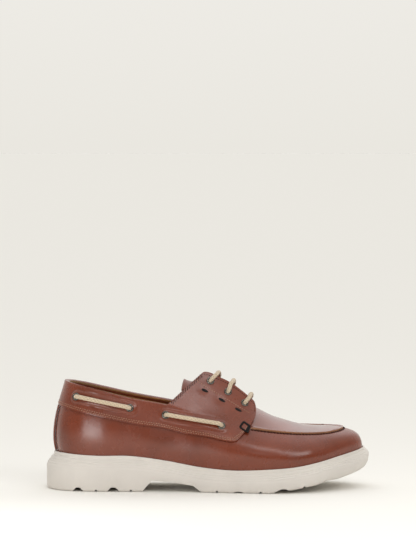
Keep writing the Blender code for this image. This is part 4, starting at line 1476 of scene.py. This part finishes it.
def make_stage():
    paper = cut_flat("paper", 2, 2)
    paper.data.transform(Matrix.Translation((-0.5, -0.5, 0)))
    paper.data.transform(Matrix.Scale(FAR_AWAY, 4))
    paper.data.materials.append(material("paper", lambda tree: {
        "Base Color": (*PAPER, 1), "Roughness": 1.0, "Specular IOR Level": 0.0}))
    light_room()
    for name, place, aim, size, watts in SOFTBOXES:
        softbox = bpy.data.lights.new(name, "AREA")
        softbox.shape = "RECTANGLE"
        softbox.size, softbox.size_y = size
        softbox.energy = watts
        placed(name, softbox, place, aim)
    lift, aim = math.radians(CAMERA_UP), Vector((0, 0, SHOE_MIDDLE))
    spot = aim + Vector((0, -math.cos(lift), math.sin(lift))) * CAMERA_RANGE
    camera = placed("camera", bpy.data.cameras.new("camera"), spot, aim)
    camera.data.lens = PHOTO_LENS
    camera.data.clip_end = FAR_AWAY
    camera.data.shift_y = FRAME_SHIFT
    bpy.context.scene.camera = camera
    bpy.context.scene.view_settings.view_transform = "Standard"


# Operators, one for each piece or group of like pieces

class Maker(bpy.types.Operator):
    bl_options = {"REGISTER", "UNDO"}

    def execute(self, context):
        for make in self.steps:
            make()
        return {"FINISHED"}


class SHOE_OT_sole(Maker):
    """Mould the cup sole and cut its arch and grooves"""
    bl_idname = "shoe.sole"
    bl_label = "Sole"
    steps = (make_sole,)


class SHOE_OT_sock(Maker):
    """Lay the leather sock in the sole"""
    bl_idname = "shoe.sock"
    bl_label = "Sock"
    steps = (make_sock,)


class SHOE_OT_upper(Maker):
    """Last the upper and sew its apron"""
    bl_idname = "shoe.upper"
    bl_label = "Upper"
    steps = (make_upper,)


class SHOE_OT_overlays(Maker):
    """Lay the saddles, heel collar and backstay over the upper"""
    bl_idname = "shoe.overlays"
    bl_label = "Overlays"
    steps = (make_band, make_backstay)


class SHOE_OT_lining(Maker):
    """Line the shoe and roll the collar's edge"""
    bl_idname = "shoe.lining"
    bl_label = "Lining"
    steps = (make_lining, make_collar_roll)


class SHOE_OT_tongue(Maker):
    """Set the tongue under the facings"""
    bl_idname = "shoe.tongue"
    bl_label = "Tongue"
    steps = (make_tongue,)


class SHOE_OT_eyelets(Maker):
    """Turn one eyelet and set it fourteen times"""
    bl_idname = "shoe.eyelets"
    bl_label = "Eyelets"
    steps = (make_eyelets,)


class SHOE_OT_laces(Maker):
    """Run the laces through the eyelets"""
    bl_idname = "shoe.laces"
    bl_label = "Laces"
    steps = (make_laces,)


class SHOE_OT_stitches(Maker):
    """Sew every visible row and set black capsules of painted shade in the slots"""
    bl_idname = "shoe.stitches"
    bl_label = "Stitches"
    steps = (make_stitches, make_slots)


class SHOE_OT_stage(Maker):
    """Set the paper floor, the soft lights and the camera"""
    bl_idname = "shoe.stage"
    bl_label = "Stage"
    steps = (make_stage,)


class SHOE_PT_panel(bpy.types.Panel):
    """The boat shoe's sizes, colours and pieces"""
    bl_idname = "SHOE_PT_panel"
    bl_label = "Boat shoe"
    bl_space_type = "VIEW_3D"
    bl_region_type = "UI"
    bl_category = "Boat shoe"

    def draw(self, context):
        for name, group in GROUPS.items():
            box = self.layout.box()
            for field in group.__annotations__:
                box.prop(getattr(context.scene, name), field)
        for operator in OPERATORS:
            self.layout.operator(operator.bl_idname)


OPERATORS = (
    SHOE_OT_sole,
    SHOE_OT_sock,
    SHOE_OT_upper,
    SHOE_OT_overlays,
    SHOE_OT_lining,
    SHOE_OT_tongue,
    SHOE_OT_eyelets,
    SHOE_OT_laces,
    SHOE_OT_stitches,
    SHOE_OT_stage,
)
CLASSES = (*GROUPS.values(), *OPERATORS, SHOE_PT_panel)


def register():
    for kind in CLASSES:
        bpy.utils.register_class(kind)
    for name, group in GROUPS.items():
        setattr(bpy.types.Scene, name, PointerProperty(type=group))


def unregister():
    for name in GROUPS:
        delattr(bpy.types.Scene, name)
    for kind in reversed(CLASSES):
        bpy.utils.unregister_class(kind)


def main():
    register()
    bpy.ops.shoe.sole()
    bpy.ops.shoe.sock()
    bpy.ops.shoe.upper()
    bpy.ops.shoe.overlays()
    bpy.ops.shoe.lining()
    bpy.ops.shoe.tongue()
    bpy.ops.shoe.eyelets()
    bpy.ops.shoe.laces()
    bpy.ops.shoe.stitches()
    bpy.ops.shoe.stage()


if __name__ == "__main__":
    main()
